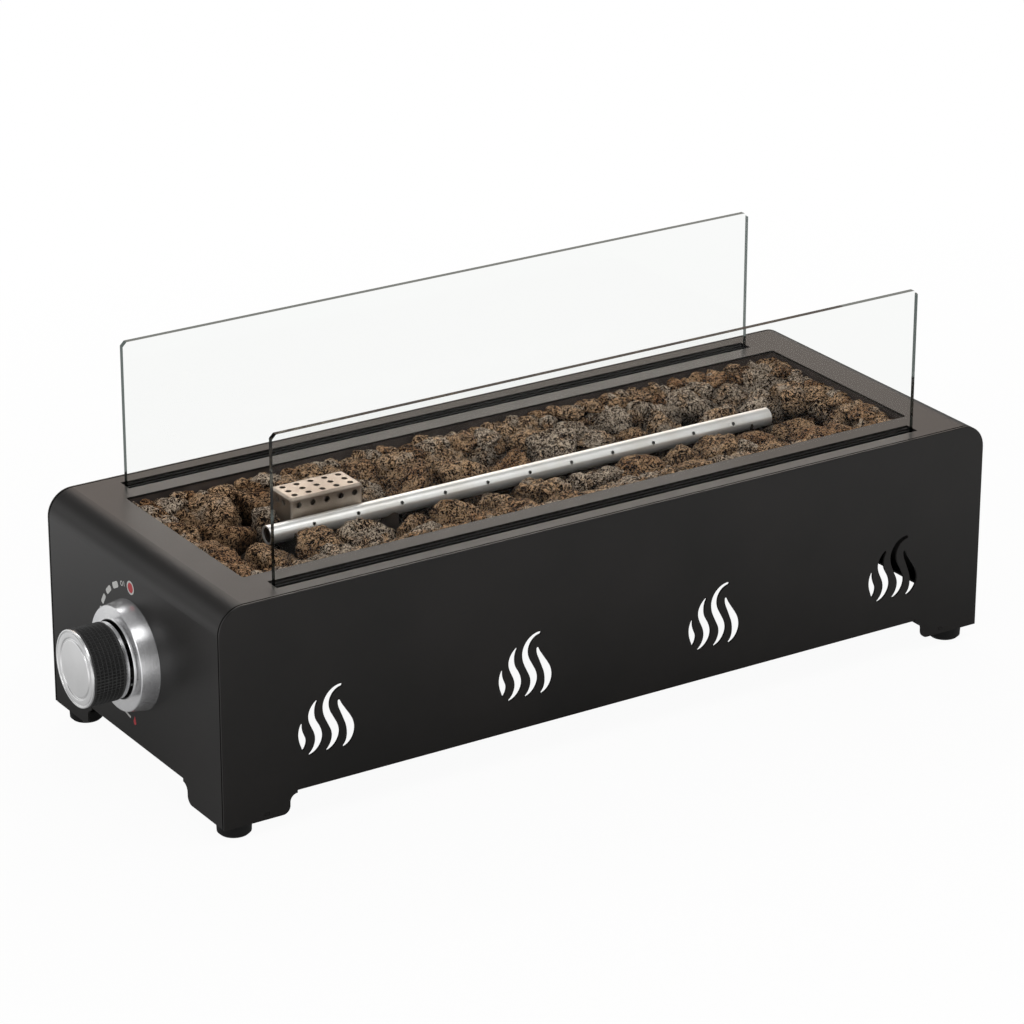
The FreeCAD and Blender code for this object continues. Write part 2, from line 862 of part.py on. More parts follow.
def clear_of_corner(cell, seed_x, seed_y):
    """The cell without what would reach into the tray's nearest rounded corner."""
    sign_x = math.copysign(1, seed_x)
    sign_y = math.copysign(1, seed_y)
    x = sign_x * (tray_x - tray_corner / 2)
    y = sign_y * (tray_y - tray_corner / 2)
    return clip(cell, x, y, sign_x * math.sqrt(0.5), sign_y * math.sqrt(0.5))


def rock(cell, low, high, draw):
    """Lump with flat facets on a cell: narrower at the floor, widest below the middle, small on top."""
    cx = sum(p[0] for p in cell) / len(cell)
    cy = sum(p[1] for p in cell) / len(cell)
    lean_x = draw.uniform(-0.12, 0.12)
    lean_y = draw.uniform(-0.12, 0.12)
    levels = [(0.0, 0.8), (draw.uniform(0.3, 0.45), 1.0), (draw.uniform(0.65, 0.78), 0.86), (1.0, draw.uniform(0.4, 0.55))]
    rings = []
    for share, scale in levels:
        spare = 1 - scale
        shift_x = lean_x * spare
        shift_y = lean_y * spare
        ring = []
        for x, y in cell:
            rx = cx + (x - cx) * scale + (cell[0][0] - cx) * shift_x
            ry = cy + (y - cy) * scale + (cell[0][1] - cy) * shift_y
            ring.append(point(rx, ry, low + (high - low) * share))
        rings.append(ring)
    faces = [Part.Face(Part.makePolygon(rings[0] + rings[0][:1]))]
    faces.append(Part.Face(Part.makePolygon(rings[-1] + rings[-1][:1])))
    count = len(cell)
    for lower, upper in zip(rings, rings[1:]):
        for i in range(count):
            j = (i + 1) % count
            faces.append(Part.Face(Part.makePolygon([lower[i], lower[j], upper[j], upper[i], lower[i]])))
    return Part.makeSolid(Part.makeShell(faces))


def bed_obstacles():
    """What the rocks lie round: guard, brackets, riser and the burner tube."""
    g = rock_gap
    x0 = guard_x - guard_length / 2 - g
    x1 = guard_x + guard_length / 2 + g
    y0 = guard_y - guard_width / 2 - g
    y1 = guard_y + guard_width / 2 + g
    things = [block(x0, x1, y0, y1, tray_floor - overcut, top_z + glass_stand)]
    x = bracket_at - g
    w = bracket_width / 2 + g
    foot = block(x, bracket_at + bracket_base + g, -w, w, tray_floor - overcut, tray_floor + bracket_sheet + g)
    upright = block(x, bracket_at + bracket_sheet + g, -w, w, tray_floor, tube_z + g)
    things += [foot, upright, half_turn(foot), half_turn(upright)]
    things.append(rod(riser_radius + g, point(riser_x, 0, tray_floor - overcut), along_z, tray_depth))
    things.append(rod(tube_radius + g, point(-tube_length / 2 - g, 0, tube_z), along_x, tube_length + 2 * g))
    return things


def lava_rocks():
    """Bed of separate rocks: two uneven rows on each side of the tube and low ones under it."""
    draw = random.Random(rock_seed)
    edge_x = tray_x - rock_gap / 2
    edge_y = tray_y - rock_gap / 2
    lanes = [
        (-edge_y, -rock_lane, rock_rows, None),
        (-rock_lane, rock_lane, 1, tube_z - tube_radius - rock_gap),
        (rock_lane, edge_y, rock_rows, None),
    ]
    obstacles = bed_obstacles()
    rocks = []
    for y0, y1, rows, ceiling in lanes:
        for cell in rock_cells(-edge_x, edge_x, y0, y1, rock_columns, rows, draw):
            high = top_z - draw.uniform(rock_high, rock_low)
            if ceiling is not None:
                high = ceiling - draw.uniform(0, 3)
            lump = rock(cell, tray_floor, high, draw)
            whole = lump.Volume
            for thing in obstacles:
                if lump.BoundBox.intersect(thing.BoundBox):
                    lump = lump.cut(thing)
            pieces = sorted(lump.Solids, key=lambda s: s.Volume)
            if pieces and pieces[-1].Volume > whole / 4:
                rocks.append(pieces[-1])
    return Part.makeCompound(rocks)


# Valve


def valve_bonnet():
    """Front plate of the valve: a disc with an ear above and below for the screws."""
    t = bonnet_thickness
    plate = rod(bonnet_radius, point(valve_x, 0, knob_z), along_x, t)
    ears = block(valve_x, valve_x + t, -ear_radius, ear_radius, knob_z - ear_offset, knob_z + ear_offset)
    plate = plate.fuse(ears)
    for side in (-1, 1):
        plate = plate.fuse(rod(ear_radius, point(valve_x, 0, knob_z + side * ear_offset), along_x, t))
    plate = plate.cut(rod(stem_radius + fit_gap, point(valve_x - overcut, 0, knob_z), along_x, t + 2 * overcut))
    for side in (-1, 1):
        start = point(valve_x - overcut, 0, knob_z + side * ear_offset)
        plate = plate.cut(rod(valve_screw_radius + fit_gap, start, along_x, t + 2 * overcut))
    return plate.removeSplitter()


def valve_screws():
    """Two screws from the bezel's floor through the sheet into the bonnet's ears."""
    reach = bezel_wall + sheet + bonnet_thickness + 2.0
    screws = []
    for side in (-1, 1):
        start = point(-half_x - bezel_wall - valve_head_height, 0, knob_z + side * ear_offset)
        screw = turned(
            [
                (0, 0),
                (0, valve_head_radius * 0.7),
                (valve_head_height * 0.6, valve_head_radius),
                (valve_head_height, valve_head_radius),
                (valve_head_height, valve_screw_radius),
                (valve_head_height + reach, valve_screw_radius),
                (valve_head_height + reach, 0),
            ],
            start,
            along_x,
        )
        slot = block(start.x - overcut, start.x + 1.0, -0.5, 0.5, start.z - 5, start.z + 5)
        screws.append(screw.cut(slot))
    return Part.makeCompound(screws)


def valve_body():
    """Die-cast body: spring chamber, tapered bore, inlet, outlet and the magnet unit's housing."""
    start = valve_x + bonnet_thickness
    end = valve_x + body_end
    axis = point(start, 0, knob_z)
    body = rod(body_radius, axis, along_x, chamber_depth + chamber_shoulder)
    body = body.fuse(rod(body_neck, axis, along_x, end - start))
    body = body.fuse(rod(outlet_radius, point(end, 0, knob_z), along_x, outlet_length))
    body = body.fuse(rod(outlet_radius + 1, point(inlet_x, 0, knob_z), along_y, inlet_reach))
    magnet = rod(magnet_radius, point(start + chamber_depth, 0, knob_z - magnet_drop), along_x, end - start - chamber_depth)
    web = block(start + chamber_depth, end, -4, 4, knob_z - magnet_drop, knob_z)
    body = body.fuse(magnet).fuse(web)
    body = body.cut(rod(chamber_radius, axis, along_x, chamber_depth))
    body = body.cut(Part.makeCone(plug_large, plug_small, plug_length, point(plug_x, 0, knob_z), along_x))
    body = body.cut(rod(pipe_radius, point(plug_x, 0, knob_z), along_x, body_end + outlet_length))
    body = body.cut(rod(pipe_radius, point(inlet_x, plug_small - 1, knob_z), along_y, inlet_reach))
    return body.removeSplitter()


def valve_plug():
    """Tapered plug with a cross port, an axial port to the outlet and a slot for the stem's tang."""
    large = plug_large - fit_gap
    small = plug_small - fit_gap
    plug = Part.makeCone(large, small, plug_length - plug_play, point(plug_x, 0, knob_z), along_x)
    depth = tang_reach + push_travel + 2
    w = tang_thickness / 2 + tang_gap
    plug = plug.cut(block(plug_x - overcut, plug_x + depth, -plug_large, plug_large, knob_z - w, knob_z + w))
    plug = plug.cut(rod(pipe_radius, point(plug_x + depth + 2, 0, knob_z), along_x, plug_length))
    port = point(inlet_x, 0, knob_z)
    return plug.cut(rod(pipe_radius - 1, port, along_y, plug_large))


def valve_stem():
    """Shaft with a flat for the knob, a collar behind the bonnet and a tang in the plug's slot."""
    collar_x = valve_x + bonnet_thickness + collar_gap
    tang_x = plug_x - push_travel - 0.8
    tip = -half_x - knob_back - ring_depth - grip_depth + grip_front + stem_tip_gap
    stem = rod(stem_radius, point(tip, 0, knob_z), along_x, tang_x - tip)
    flat_end = -half_x - bezel_depth
    cutter = block(tip - overcut, flat_end, -stem_radius, stem_radius, knob_z + stem_flat, knob_z + 2 * stem_radius)
    stem = stem.cut(cutter)
    stem = stem.fuse(rod(collar_radius, point(collar_x, 0, knob_z), along_x, collar_thickness))
    w = tang_width / 2
    t = tang_thickness / 2
    tang = block(tang_x, plug_x + tang_reach, -w, w, knob_z - t, knob_z + t)
    return stem.fuse(tang).removeSplitter()


def stem_spring():
    """Coil of square wire between the stem's collar and the plug's face."""
    half = spring_wire / 2
    start = valve_x + bonnet_thickness + collar_gap + collar_thickness + half + 0.1
    length = plug_x - half - 0.1 - start
    path = Part.makeHelix(length / spring_turns, length, spring_radius)
    corners = [(-half, -half), (half, -half), (half, half), (-half, half), (-half, -half)]
    ring = Part.makePolygon([point(spring_radius + u, 0, v) for u, v in corners])
    coil = Part.Wire(path).makePipeShell([ring], True, True)
    coil.Placement = FreeCAD.Placement(point(start, 0, knob_z), FreeCAD.Rotation(along_z, along_x))
    return coil


def piezo_igniter():
    """Spark unit clipped beside the valve body, with a stub for its lead."""
    unit = rod(piezo_radius, point(piezo_x, piezo_y, knob_z), along_x, piezo_length)
    plunger = point(piezo_x - piezo_plunger, piezo_y, knob_z)
    unit = unit.fuse(rod(piezo_radius / 2, plunger, along_x, piezo_plunger))
    stub = point(piezo_x + piezo_length, piezo_y, knob_z)
    unit = unit.fuse(rod(lead_radius + 1, stub, along_x, piezo_stub))
    return unit.removeSplitter()


# Gas train


def gas_nut(centre, direction):
    """Compression nut with a chamfered outer end and a bore for its pipe."""
    nut = hexagon(gas_nut_flats, centre, direction, gas_nut_length)
    limit = turned(
        [(0, 0), (0, gas_nut_flats), (gas_nut_length - 2, gas_nut_flats / 2 + 1.4), (gas_nut_length, gas_nut_flats / 2 - 0.6), (gas_nut_length, 0)],
        centre,
        direction,
    )
    return nut.common(limit)


def burner_pipe():
    start = valve_x + body_end + outlet_length + pipe_gap
    return tube(pipe_radius, pipe_radius - pipe_wall, point(start, 0, knob_z), along_x, orifice_x - start)


def burner_pipe_nut():
    """Nut that holds the pipe to the valve's outlet."""
    start = point(valve_x + body_end + outlet_length - gas_nut_overlap, 0, knob_z)
    nut = gas_nut(start, along_x)
    nut = nut.cut(rod(outlet_radius + fit_gap, start, along_x, gas_nut_overlap + pipe_gap / 2))
    return nut.cut(rod(pipe_radius + fit_gap, start, along_x, gas_nut_length))


def gas_orifice():
    """Hexagonal jet body, bored through, whose nose screws into the mixer's front."""
    start = point(orifice_x, 0, knob_z)
    whole = orifice_body + orifice_reach
    jet = hexagon(orifice_flats, start, along_x, orifice_body)
    jet = jet.fuse(rod(orifice_nose, start, along_x, whole))
    jet = jet.cut(rod(orifice_bore, start, along_x, whole))
    return jet.removeSplitter()


def mixer_path(radius, front):
    """Solid mixer of the given radii: wide inlet, cone, elbow and riser to the burner tube."""
    shrink = mixer_radius - radius
    inlet = rod(radius, point(front, 0, knob_z), along_x, mixer_start + mixer_length - front)
    narrow = riser_radius - shrink
    cone_x = mixer_start + mixer_length
    cone = Part.makeCone(radius, narrow, mixer_cone, point(cone_x, 0, knob_z), along_x)
    ring = Part.Face(Part.Wire(Part.makeCircle(narrow, point(cone_x + mixer_cone, 0, knob_z), along_x)))
    elbow = ring.revolve(point(cone_x + mixer_cone, 0, knob_z + riser_bend), along_y * -1, 90)
    rise_z = knob_z + riser_bend
    riser = rod(narrow, point(riser_x, 0, rise_z), along_z, tube_z - rise_z)
    return inlet.fuse([cone, elbow, riser])


def mixer_tube():
    """Hollow mixer with two air windows and a front disc for the jet."""
    mixer = mixer_path(mixer_radius, mixer_start)
    mixer = mixer.cut(mixer_path(mixer_radius - mixer_wall, mixer_start + 2 * mixer_wall))
    mixer = mixer.cut(rod(orifice_nose + fit_gap, point(mixer_start - overcut, 0, knob_z), along_x, mixer_cone))
    mixer = mixer.cut(air_windows(0))
    saddle = rod(tube_radius + fit_gap, point(riser_x - riser_bend, 0, tube_z), along_x, 2 * riser_bend)
    return mixer.cut(saddle).removeSplitter()


def air_windows(grow):
    start = mixer_start + air_window_start - grow
    w = air_window_width / 2 + grow
    reach = mixer_radius + 5
    return block(start, start + air_window + 2 * grow, -reach, reach, knob_z - w, knob_z + w)


def air_shutter():
    """Sleeve round the mixer's inlet, turned to set the air, shown open."""
    inner = mixer_radius + fit_gap
    start = point(mixer_start + 2, 0, knob_z)
    sleeve = tube(inner + shutter_wall, inner, start, along_x, shutter_length)
    return sleeve.cut(air_windows(0.5))


def inlet_pipe():
    start = point(inlet_x, inlet_reach + pipe_gap, knob_z)
    end_y = half_y - inlet_barrel
    return tube(inlet_pipe_radius, inlet_pipe_radius - pipe_wall, start, along_y, end_y - start.y)


def inlet_pipe_nut():
    """Nut that holds the inlet pipe to the valve."""
    boss = outlet_radius + 1
    start = point(inlet_x, inlet_reach - inlet_nut_overlap, knob_z)
    nut = gas_nut(start, along_y)
    nut = nut.fuse(rod(boss + 1.5, start, along_y, inlet_nut_overlap + 1))
    nut = nut.cut(rod(boss + fit_gap, start, along_y, inlet_nut_overlap + pipe_gap / 2))
    return nut.cut(rod(inlet_pipe_radius + fit_gap, start, along_y, gas_nut_length)).removeSplitter()


def gas_inlet():
    """Bulkhead fitting: inner barrel, hexagon outside the panel, threaded end with a flare cone."""
    start = point(inlet_x, half_y - inlet_barrel, knob_z)
    hex_start = point(inlet_x, half_y, knob_z)
    thread_start = inlet_barrel + inlet_hex_height
    barrel = turned(
        [
            (0, 0),
            (0, inlet_barrel_radius),
            (thread_start, inlet_barrel_radius),
            (thread_start, inlet_thread_radius),
            (thread_start + inlet_thread_length, inlet_thread_radius),
            (thread_start + inlet_thread_length + inlet_flare_length, inlet_thread_radius - inlet_flare_length),
            (thread_start + inlet_thread_length + inlet_flare_length, 0),
        ],
        start,
        along_y,
    )
    fitting = barrel.fuse(hexagon(inlet_hex_flats, hex_start, along_y, inlet_hex_height))
    whole = thread_start + inlet_thread_length + inlet_flare_length
    return fitting.cut(rod(inlet_bore, start, along_y, whole)).removeSplitter()


def inlet_nut():
    """Lock nut on the fitting inside the rear panel."""
    start = point(inlet_x, half_y - sheet - inlet_nut_height, knob_z)
    nut = hexagon(inlet_hex_flats, start, along_y, inlet_nut_height)
    return nut.cut(rod(inlet_barrel_radius + fit_gap, start, along_y, inlet_nut_height))


# Igniter, flame sensor, leads and heat shield


def flame_sensor():
    """Steel probe with a round tip, its collar seated on the tray floor."""
    low = tray_floor - tray_wall - sensor_tail
    high = top_z - 4
    probe = rod(sensor_radius, point(sensor_x, guard_y, low), along_z, high - low)
    probe = probe.fuse(Part.makeSphere(sensor_radius, point(sensor_x, guard_y, high)))
    return probe.fuse(rod(sensor_collar, point(sensor_x, guard_y, tray_floor), along_z, 5)).removeSplitter()


def igniter_electrode():
    """Ceramic post with a collar and a wire that bends towards the tube's ports."""
    low = tray_floor - tray_wall - electrode_tail
    post_top = tube_z - 6
    post = rod(electrode_radius, point(electrode_x, guard_y, low), along_z, post_top - low)
    post = post.fuse(rod(electrode_collar, point(electrode_x, guard_y, tray_floor), along_z, 4))
    bend_z = tube_z + 3
    wire = rod(electrode_wire, point(electrode_x, guard_y, post_top), along_z, bend_z - post_top)
    tip_y = guard_y - guard_width / 2 + guard_wall + 2.0
    knee = Part.makeSphere(electrode_wire, point(electrode_x, guard_y, bend_z))
    spark = rod(electrode_wire, point(electrode_x, guard_y, bend_z), along_y * -1, guard_y - tip_y)
    return post.fuse([wire, knee, spark]).removeSplitter()


def lead(points, radius, bend):
    """Round lead along straight runs joined by tangent arcs."""
    count = len(points)
    edges = []
    last = points[0]
    for i in range(1, count - 1):
        back = (points[i - 1] - points[i]).normalize()
        ahead = (points[i + 1] - points[i]).normalize()
        half_angle = back.getAngle(ahead) / 2
        reach = bend / math.tan(half_angle)
        inward = (back + ahead).normalize()
        first = points[i] + back * reach
        middle = points[i] + inward * (bend / math.sin(half_angle) - bend)
        edges.append(Part.LineSegment(last, first).toShape())
        last = points[i] + ahead * reach
        edges.append(Part.Arc(first, middle, last).toShape())
    edges.append(Part.LineSegment(last, points[-1]).toShape())
    ring = Part.Wire(Part.makeCircle(radius, points[0], points[1] - points[0]))
    return Part.Wire(edges).makePipeShell([ring], True, False)


def igniter_lead():
    """From the electrode down and under the burner pipe to the piezo unit."""
    end_x = piezo_x + piezo_length + piezo_stub
    start = point(electrode_x, guard_y, tray_floor - tray_wall - electrode_tail)
    route = [
        start,
        point(electrode_x, guard_y, knob_z - 14),
        point(electrode_x - 34, guard_y + 9, knob_z - 16),
        point(end_x + 30, piezo_y + 6, knob_z - 15),
        point(end_x + 16, piezo_y, knob_z),
        point(end_x, piezo_y, knob_z),
    ]
    return lead(route, lead_radius, 7.0)


def sensor_lead():
    """From the flame sensor down to the magnet unit under the valve."""
    end = point(valve_x + body_end, 0, knob_z - magnet_drop)
    start = point(sensor_x, guard_y, tray_floor - tray_wall - sensor_tail)
    route = [
        start,
        point(sensor_x, guard_y, end.z - 2),
        point(sensor_x - 40, guard_y - 3, end.z - 3),
        point(end.x + 24, 0, end.z),
        end,
    ]
    return lead(route, sensor_lead_radius, 8.0)


def heat_shield():
    """Thin plate over the valve whose turned-up ends are welded under the tray."""
    t = shield_sheet
    top = tray_floor - tray_wall
    low = top - shield_gap
    profile = [
        (shield_start, top),
        (shield_start, low, 1.5),
        (shield_end, low, 1.5),
        (shield_end, top),
        (shield_end - t, top),
        (shield_end - t, low + t, 0.7),
        (shield_start + t, low + t, 0.7),
        (shield_start + t, top),
    ]
    plate = rounded_face(profile, on_xz).extrude(along_y * (2 * shield_half_width))
    plate.translate(along_y * -shield_half_width)
    return plate


# Knob and bezel


def bezel():
    """Hollow bright ring with a flat front, a low bead, an inner skirt and a floor against the body."""
    t = bezel_wall
    d = bezel_depth
    profile = [
        (0, bezel_bore),
        (0, bezel_inner_radius + t),
        (d - t, bezel_inner_radius + t),
        (d - t, bezel_rim_radius - t),
        (0, bezel_base_radius - t),
        (0, bezel_base_radius),
        (d - bezel_edge, bezel_rim_radius),
        (d, bezel_rim_radius - bezel_edge),
        (d, bezel_inner_radius + bezel_lip),
        (d + bezel_lip_reach - bezel_edge, bezel_inner_radius + bezel_lip),
        (d + bezel_lip_reach, bezel_inner_radius + bezel_lip - bezel_edge),
        (d + bezel_lip_reach, bezel_inner_radius),
        (t, bezel_inner_radius),
        (t, bezel_bore),
    ]
    ring = turned(profile, point(-half_x, 0, knob_z), along_x * -1)
    return ring.cut(valve_screw_holes(-half_x - bezel_wall - overcut, bezel_wall + 2 * overcut))


def knob_turned(profile):
    """Turned part of the knob from (distance out from its back edge, radius) points."""
    return turned(profile, point(-half_x - knob_back, 0, knob_z), along_x * -1)


def knob_ring():
    inner = knob_radius - grip_wall
    outer = ring_radius
    edge = ring_edge
    d = ring_depth
    return knob_turned([(0, inner), (0, outer - edge), (edge, outer), (d - edge, outer), (d, outer - edge), (d, inner)])


def knob_grip():
    """Moulded cup with a hub for the stem and ribs inside."""
    r = knob_radius
    start = ring_depth
    end = start + grip_depth
    inside = end - grip_front
    grip = knob_turned([(start, 0), (start, r), (end, r), (end, 0)])
    grip = grip.cut(knob_turned([(0, 0), (0, r - grip_wall), (inside, r - grip_wall), (inside, 0)]))
    hub = knob_turned([(1, 0), (1, hub_radius), (inside, hub_radius), (inside, 0)])
    back_x = -half_x - knob_back
    rib_w = rib_thickness / 2
    ribs = []
    for i in range(hub_ribs):
        rib = block(back_x - inside, back_x - start - 4, hub_radius - 1, r - grip_wall + 0.5, -rib_w, rib_w)
        rib.rotate(origin, along_x, i * 360 / hub_ribs)
        rib.translate(along_z * knob_z)
        ribs.append(rib)
    grip = grip.fuse([hub] + ribs)
    bore = rod(stem_radius + fit_gap, point(back_x - inside, 0, knob_z), along_x, inside)
    flat_z = knob_z + stem_flat + fit_gap
    flat = block(back_x - inside - 1, back_x, -2 * stem_radius, 2 * stem_radius, flat_z, flat_z + stem_radius)
    return grip.cut(bore.cut(flat)).removeSplitter()


def knob_cap():
    """Bright disc on the knob's face with a chamfered rim and a fine ring groove."""
    r = knob_radius
    start = ring_depth + grip_depth
    end = start + cap_depth
    outer = cap_groove_radius + cap_groove
    inner = cap_groove_radius - cap_groove
    floor = end - cap_groove
    profile = [(start, 0), (start, r), (end - cap_edge, r), (end, r - cap_edge)]
    profile += [(end, outer), (floor, outer), (floor, inner), (end, inner), (end, 0)]
    return knob_turned(profile)


def save(name, shape):
    if not shape.isValid():
        raise ValueError(name + " is not a valid shape")
    for i, solid in enumerate(shape.Solids):
        if solid.Volume <= 0:
            raise ValueError(name + " solid " + str(i) + " has no volume")
    if not shape.Solids:
        raise ValueError(name + " has no solid")
    saved = shape.Solids[0] if len(shape.Solids) == 1 else Part.makeCompound(shape.Solids)
    saved.exportStep("parts/" + name + ".step")
    print(name, len(shape.Solids), "solids", len(shape.Faces), "faces")


os.makedirs("parts", exist_ok=True)

save("housing_wrap", housing_wrap())
save("front_panel", front_panel())
save("rear_panel", rear_panel())

front_left_plate = corner_plate()
front_right_plate = front_left_plate.mirror(origin, along_x)
save("foot_plate_front_left", front_left_plate)
save("foot_plate_front_right", front_right_plate)
save("foot_plate_rear_right", half_turn(front_left_plate))
save("foot_plate_rear_left", half_turn(front_right_plate))

foot_names = {(-1, -1): "front_left", (1, -1): "front_right", (-1, 1): "rear_left", (1, 1): "rear_right"}
for (end, side), place in foot_names.items():
    foot = rubber_foot()
    foot.translate(foot_place(end, side, 0))
    save("rubber_foot_" + place, foot)
save("foot_screws", at_each_foot(foot_screw()))
save("foot_nuts", at_each_foot(foot_nut()))

for side, place in ((-1, "front"), (1, "rear")):
    save(place + "_glass", glass_pane(side))
    save(place + "_glass_channel", glass_channel(side))
    save(place + "_glass_liner", glass_liner(side))

save("burner_tray", burner_tray())
save("burner_tube", burner_tube())
for end, place in ((-1, "left"), (1, "right")):
    save("burner_cap_" + place, burner_cap(end))
    save("burner_bracket_" + place, burner_bracket(end))
save("guard_box", guard_box())
save("lava_rocks", lava_rocks())

save("valve_bonnet", valve_bonnet())
save("valve_screws", valve_screws())
save("valve_body", valve_body())
save("valve_plug", valve_plug())
save("valve_stem", valve_stem())
save("stem_spring", stem_spring())
save("piezo_igniter", piezo_igniter())

save("burner_pipe", burner_pipe())
save("burner_pipe_nut", burner_pipe_nut())
save("gas_orifice", gas_orifice())
save("mixer_tube", mixer_tube())
save("air_shutter", air_shutter())
save("inlet_pipe", inlet_pipe())
save("inlet_pipe_nut", inlet_pipe_nut())
save("gas_inlet", gas_inlet())
save("inlet_nut", inlet_nut())

save("flame_sensor", flame_sensor())
save("igniter_electrode", igniter_electrode())
save("igniter_lead", igniter_lead())
save("sensor_lead", sensor_lead())
save("heat_shield", heat_shield())

save("bezel", bezel())
save("knob_ring", knob_ring())
save("knob_grip", knob_grip())
save("knob_cap", knob_cap())
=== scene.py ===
import bpy
import itertools
import math
import random
from mathutils import Matrix, Vector


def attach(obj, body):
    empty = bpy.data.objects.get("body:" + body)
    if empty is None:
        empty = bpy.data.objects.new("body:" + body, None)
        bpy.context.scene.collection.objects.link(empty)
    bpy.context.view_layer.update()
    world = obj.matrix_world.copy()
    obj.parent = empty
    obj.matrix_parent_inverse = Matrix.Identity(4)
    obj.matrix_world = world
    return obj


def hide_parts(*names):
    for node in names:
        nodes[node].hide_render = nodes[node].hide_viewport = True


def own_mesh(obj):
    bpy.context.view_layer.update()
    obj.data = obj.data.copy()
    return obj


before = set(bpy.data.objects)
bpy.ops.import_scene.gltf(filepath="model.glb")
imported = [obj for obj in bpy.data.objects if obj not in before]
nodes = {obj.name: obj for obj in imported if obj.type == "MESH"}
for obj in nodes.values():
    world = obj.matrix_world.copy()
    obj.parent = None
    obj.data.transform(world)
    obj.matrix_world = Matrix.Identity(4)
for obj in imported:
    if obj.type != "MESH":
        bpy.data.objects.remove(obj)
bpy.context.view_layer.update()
print("frame loaded:", len(nodes), "CAD nodes")

mm = 0.001
leftFace = -300.0
knobAxisZ = 88.2
weldGap = 0.01
rubberFeet = [name for name in nodes if name.startswith("rubber_foot")]
footPlates = [name for name in nodes if name.startswith("foot_plate")]


# small tools

def hexColour(code):
    channels = [int(code[i:i + 2], 16) / 255 for i in (1, 3, 5)]
    return [c / 12.92 if c <= 0.04045 else ((c + 0.055) / 1.055) ** 2.4 for c in channels] + [1.0]


def addNode(tree, kind, stops=None, **given):
    # names in small letters are the node's settings, the others its sockets: Base_Color=, in0=
    node = tree.nodes.new("ShaderNode" + kind)
    for name, value in given.items():
        if name[0].islower() and not name[2:].isdigit():
            setattr(node, name, value)
            continue
        socket = node.inputs[int(name[2:])] if name[0] == "i" else node.inputs[name.replace("_", " ")]
        if isinstance(value, bpy.types.NodeSocket):
            tree.links.new(value, socket)
        else:
            socket.default_value = hexColour(value) if isinstance(value, str) else value
    for i, (place, colour) in enumerate(stops or []):
        elements = node.color_ramp.elements
        element = elements[i] if i < len(elements) else elements.new(place)
        element.position = place
        element.color = hexColour(colour)
    return node


def newMaterial(name, **sockets):
    material = bpy.data.materials.new(name)
    material.use_nodes = True
    tree = material.node_tree
    tree.nodes.clear()
    shader = addNode(tree, "BsdfPrincipled", **sockets)
    out = addNode(tree, "OutputMaterial", Surface=shader.outputs[0])
    coords = addNode(tree, "TexCoord").outputs["Object"]
    return material, tree, shader, out, coords


def perMm(size):
    return 1 / (size * mm)  # texture scale that makes a pattern this many millimetres wide


def paint(material, *names):
    for name in names:
        nodes[name].data.materials.clear()
        nodes[name].data.materials.append(material)


def newObject(name, data):
    made = bpy.data.objects.new(name, data)
    bpy.context.scene.collection.objects.link(made)
    return made


def deselect():
    bpy.ops.object.select_all(action="DESELECT")


def takeOver(piece):
    deselect()
    piece.select_set(True)
    bpy.context.view_layer.objects.active = piece


def pickFaces(piece, test):
    # test gets a face's centre and normal
    bpy.ops.object.mode_set(mode="OBJECT")
    for part in (piece.data.vertices, piece.data.edges):
        part.foreach_set("select", [False] * len(part))
    for face in piece.data.polygons:
        face.select = test(face.center, face.normal)
    bpy.ops.object.mode_set(mode="EDIT")
    bpy.ops.mesh.select_mode(type="FACE")


def pickEdges(piece, test):
    # test gets the two ends of an edge
    bpy.ops.object.mode_set(mode="OBJECT")
    mesh = piece.data
    for part in (mesh.vertices, mesh.polygons):
        part.foreach_set("select", [False] * len(part))
    for edge in mesh.edges:
        edge.select = test(*(mesh.vertices[v].co for v in edge.vertices))
    bpy.ops.object.mode_set(mode="EDIT")
    bpy.ops.mesh.select_mode(type="EDGE")


def settle(piece, name, matrix):
    # leaves the object at the origin with its place in its mesh
    if bpy.context.mode != "OBJECT":
        bpy.ops.object.mode_set(mode="OBJECT")
    piece.data.transform(matrix @ piece.matrix_world)
    piece.matrix_world = Matrix.Identity(4)
    piece.name = piece.data.name = name


def mergedCopy(node, name):
    # a copy of a CAD node with its loose triangles joined, left in edit mode
    piece = newObject(name, nodes[node].data.copy())
    takeOver(piece)
    bpy.ops.object.mode_set(mode="EDIT")
    bpy.ops.mesh.select_all(action="SELECT")
    bpy.ops.mesh.remove_doubles(threshold=weldGap * mm)
    return piece


def boxOf(points):
    return [Vector([pick(p[i] for p in points) for i in range(3)]) for pick in (min, max)]


def joined(pieces, name):
    takeOver(pieces[0])
    for piece in pieces:
        piece.select_set(True)
    bpy.ops.object.join()
    pieces[0].name = pieces[0].data.name = name
    return pieces[0]


# finishes

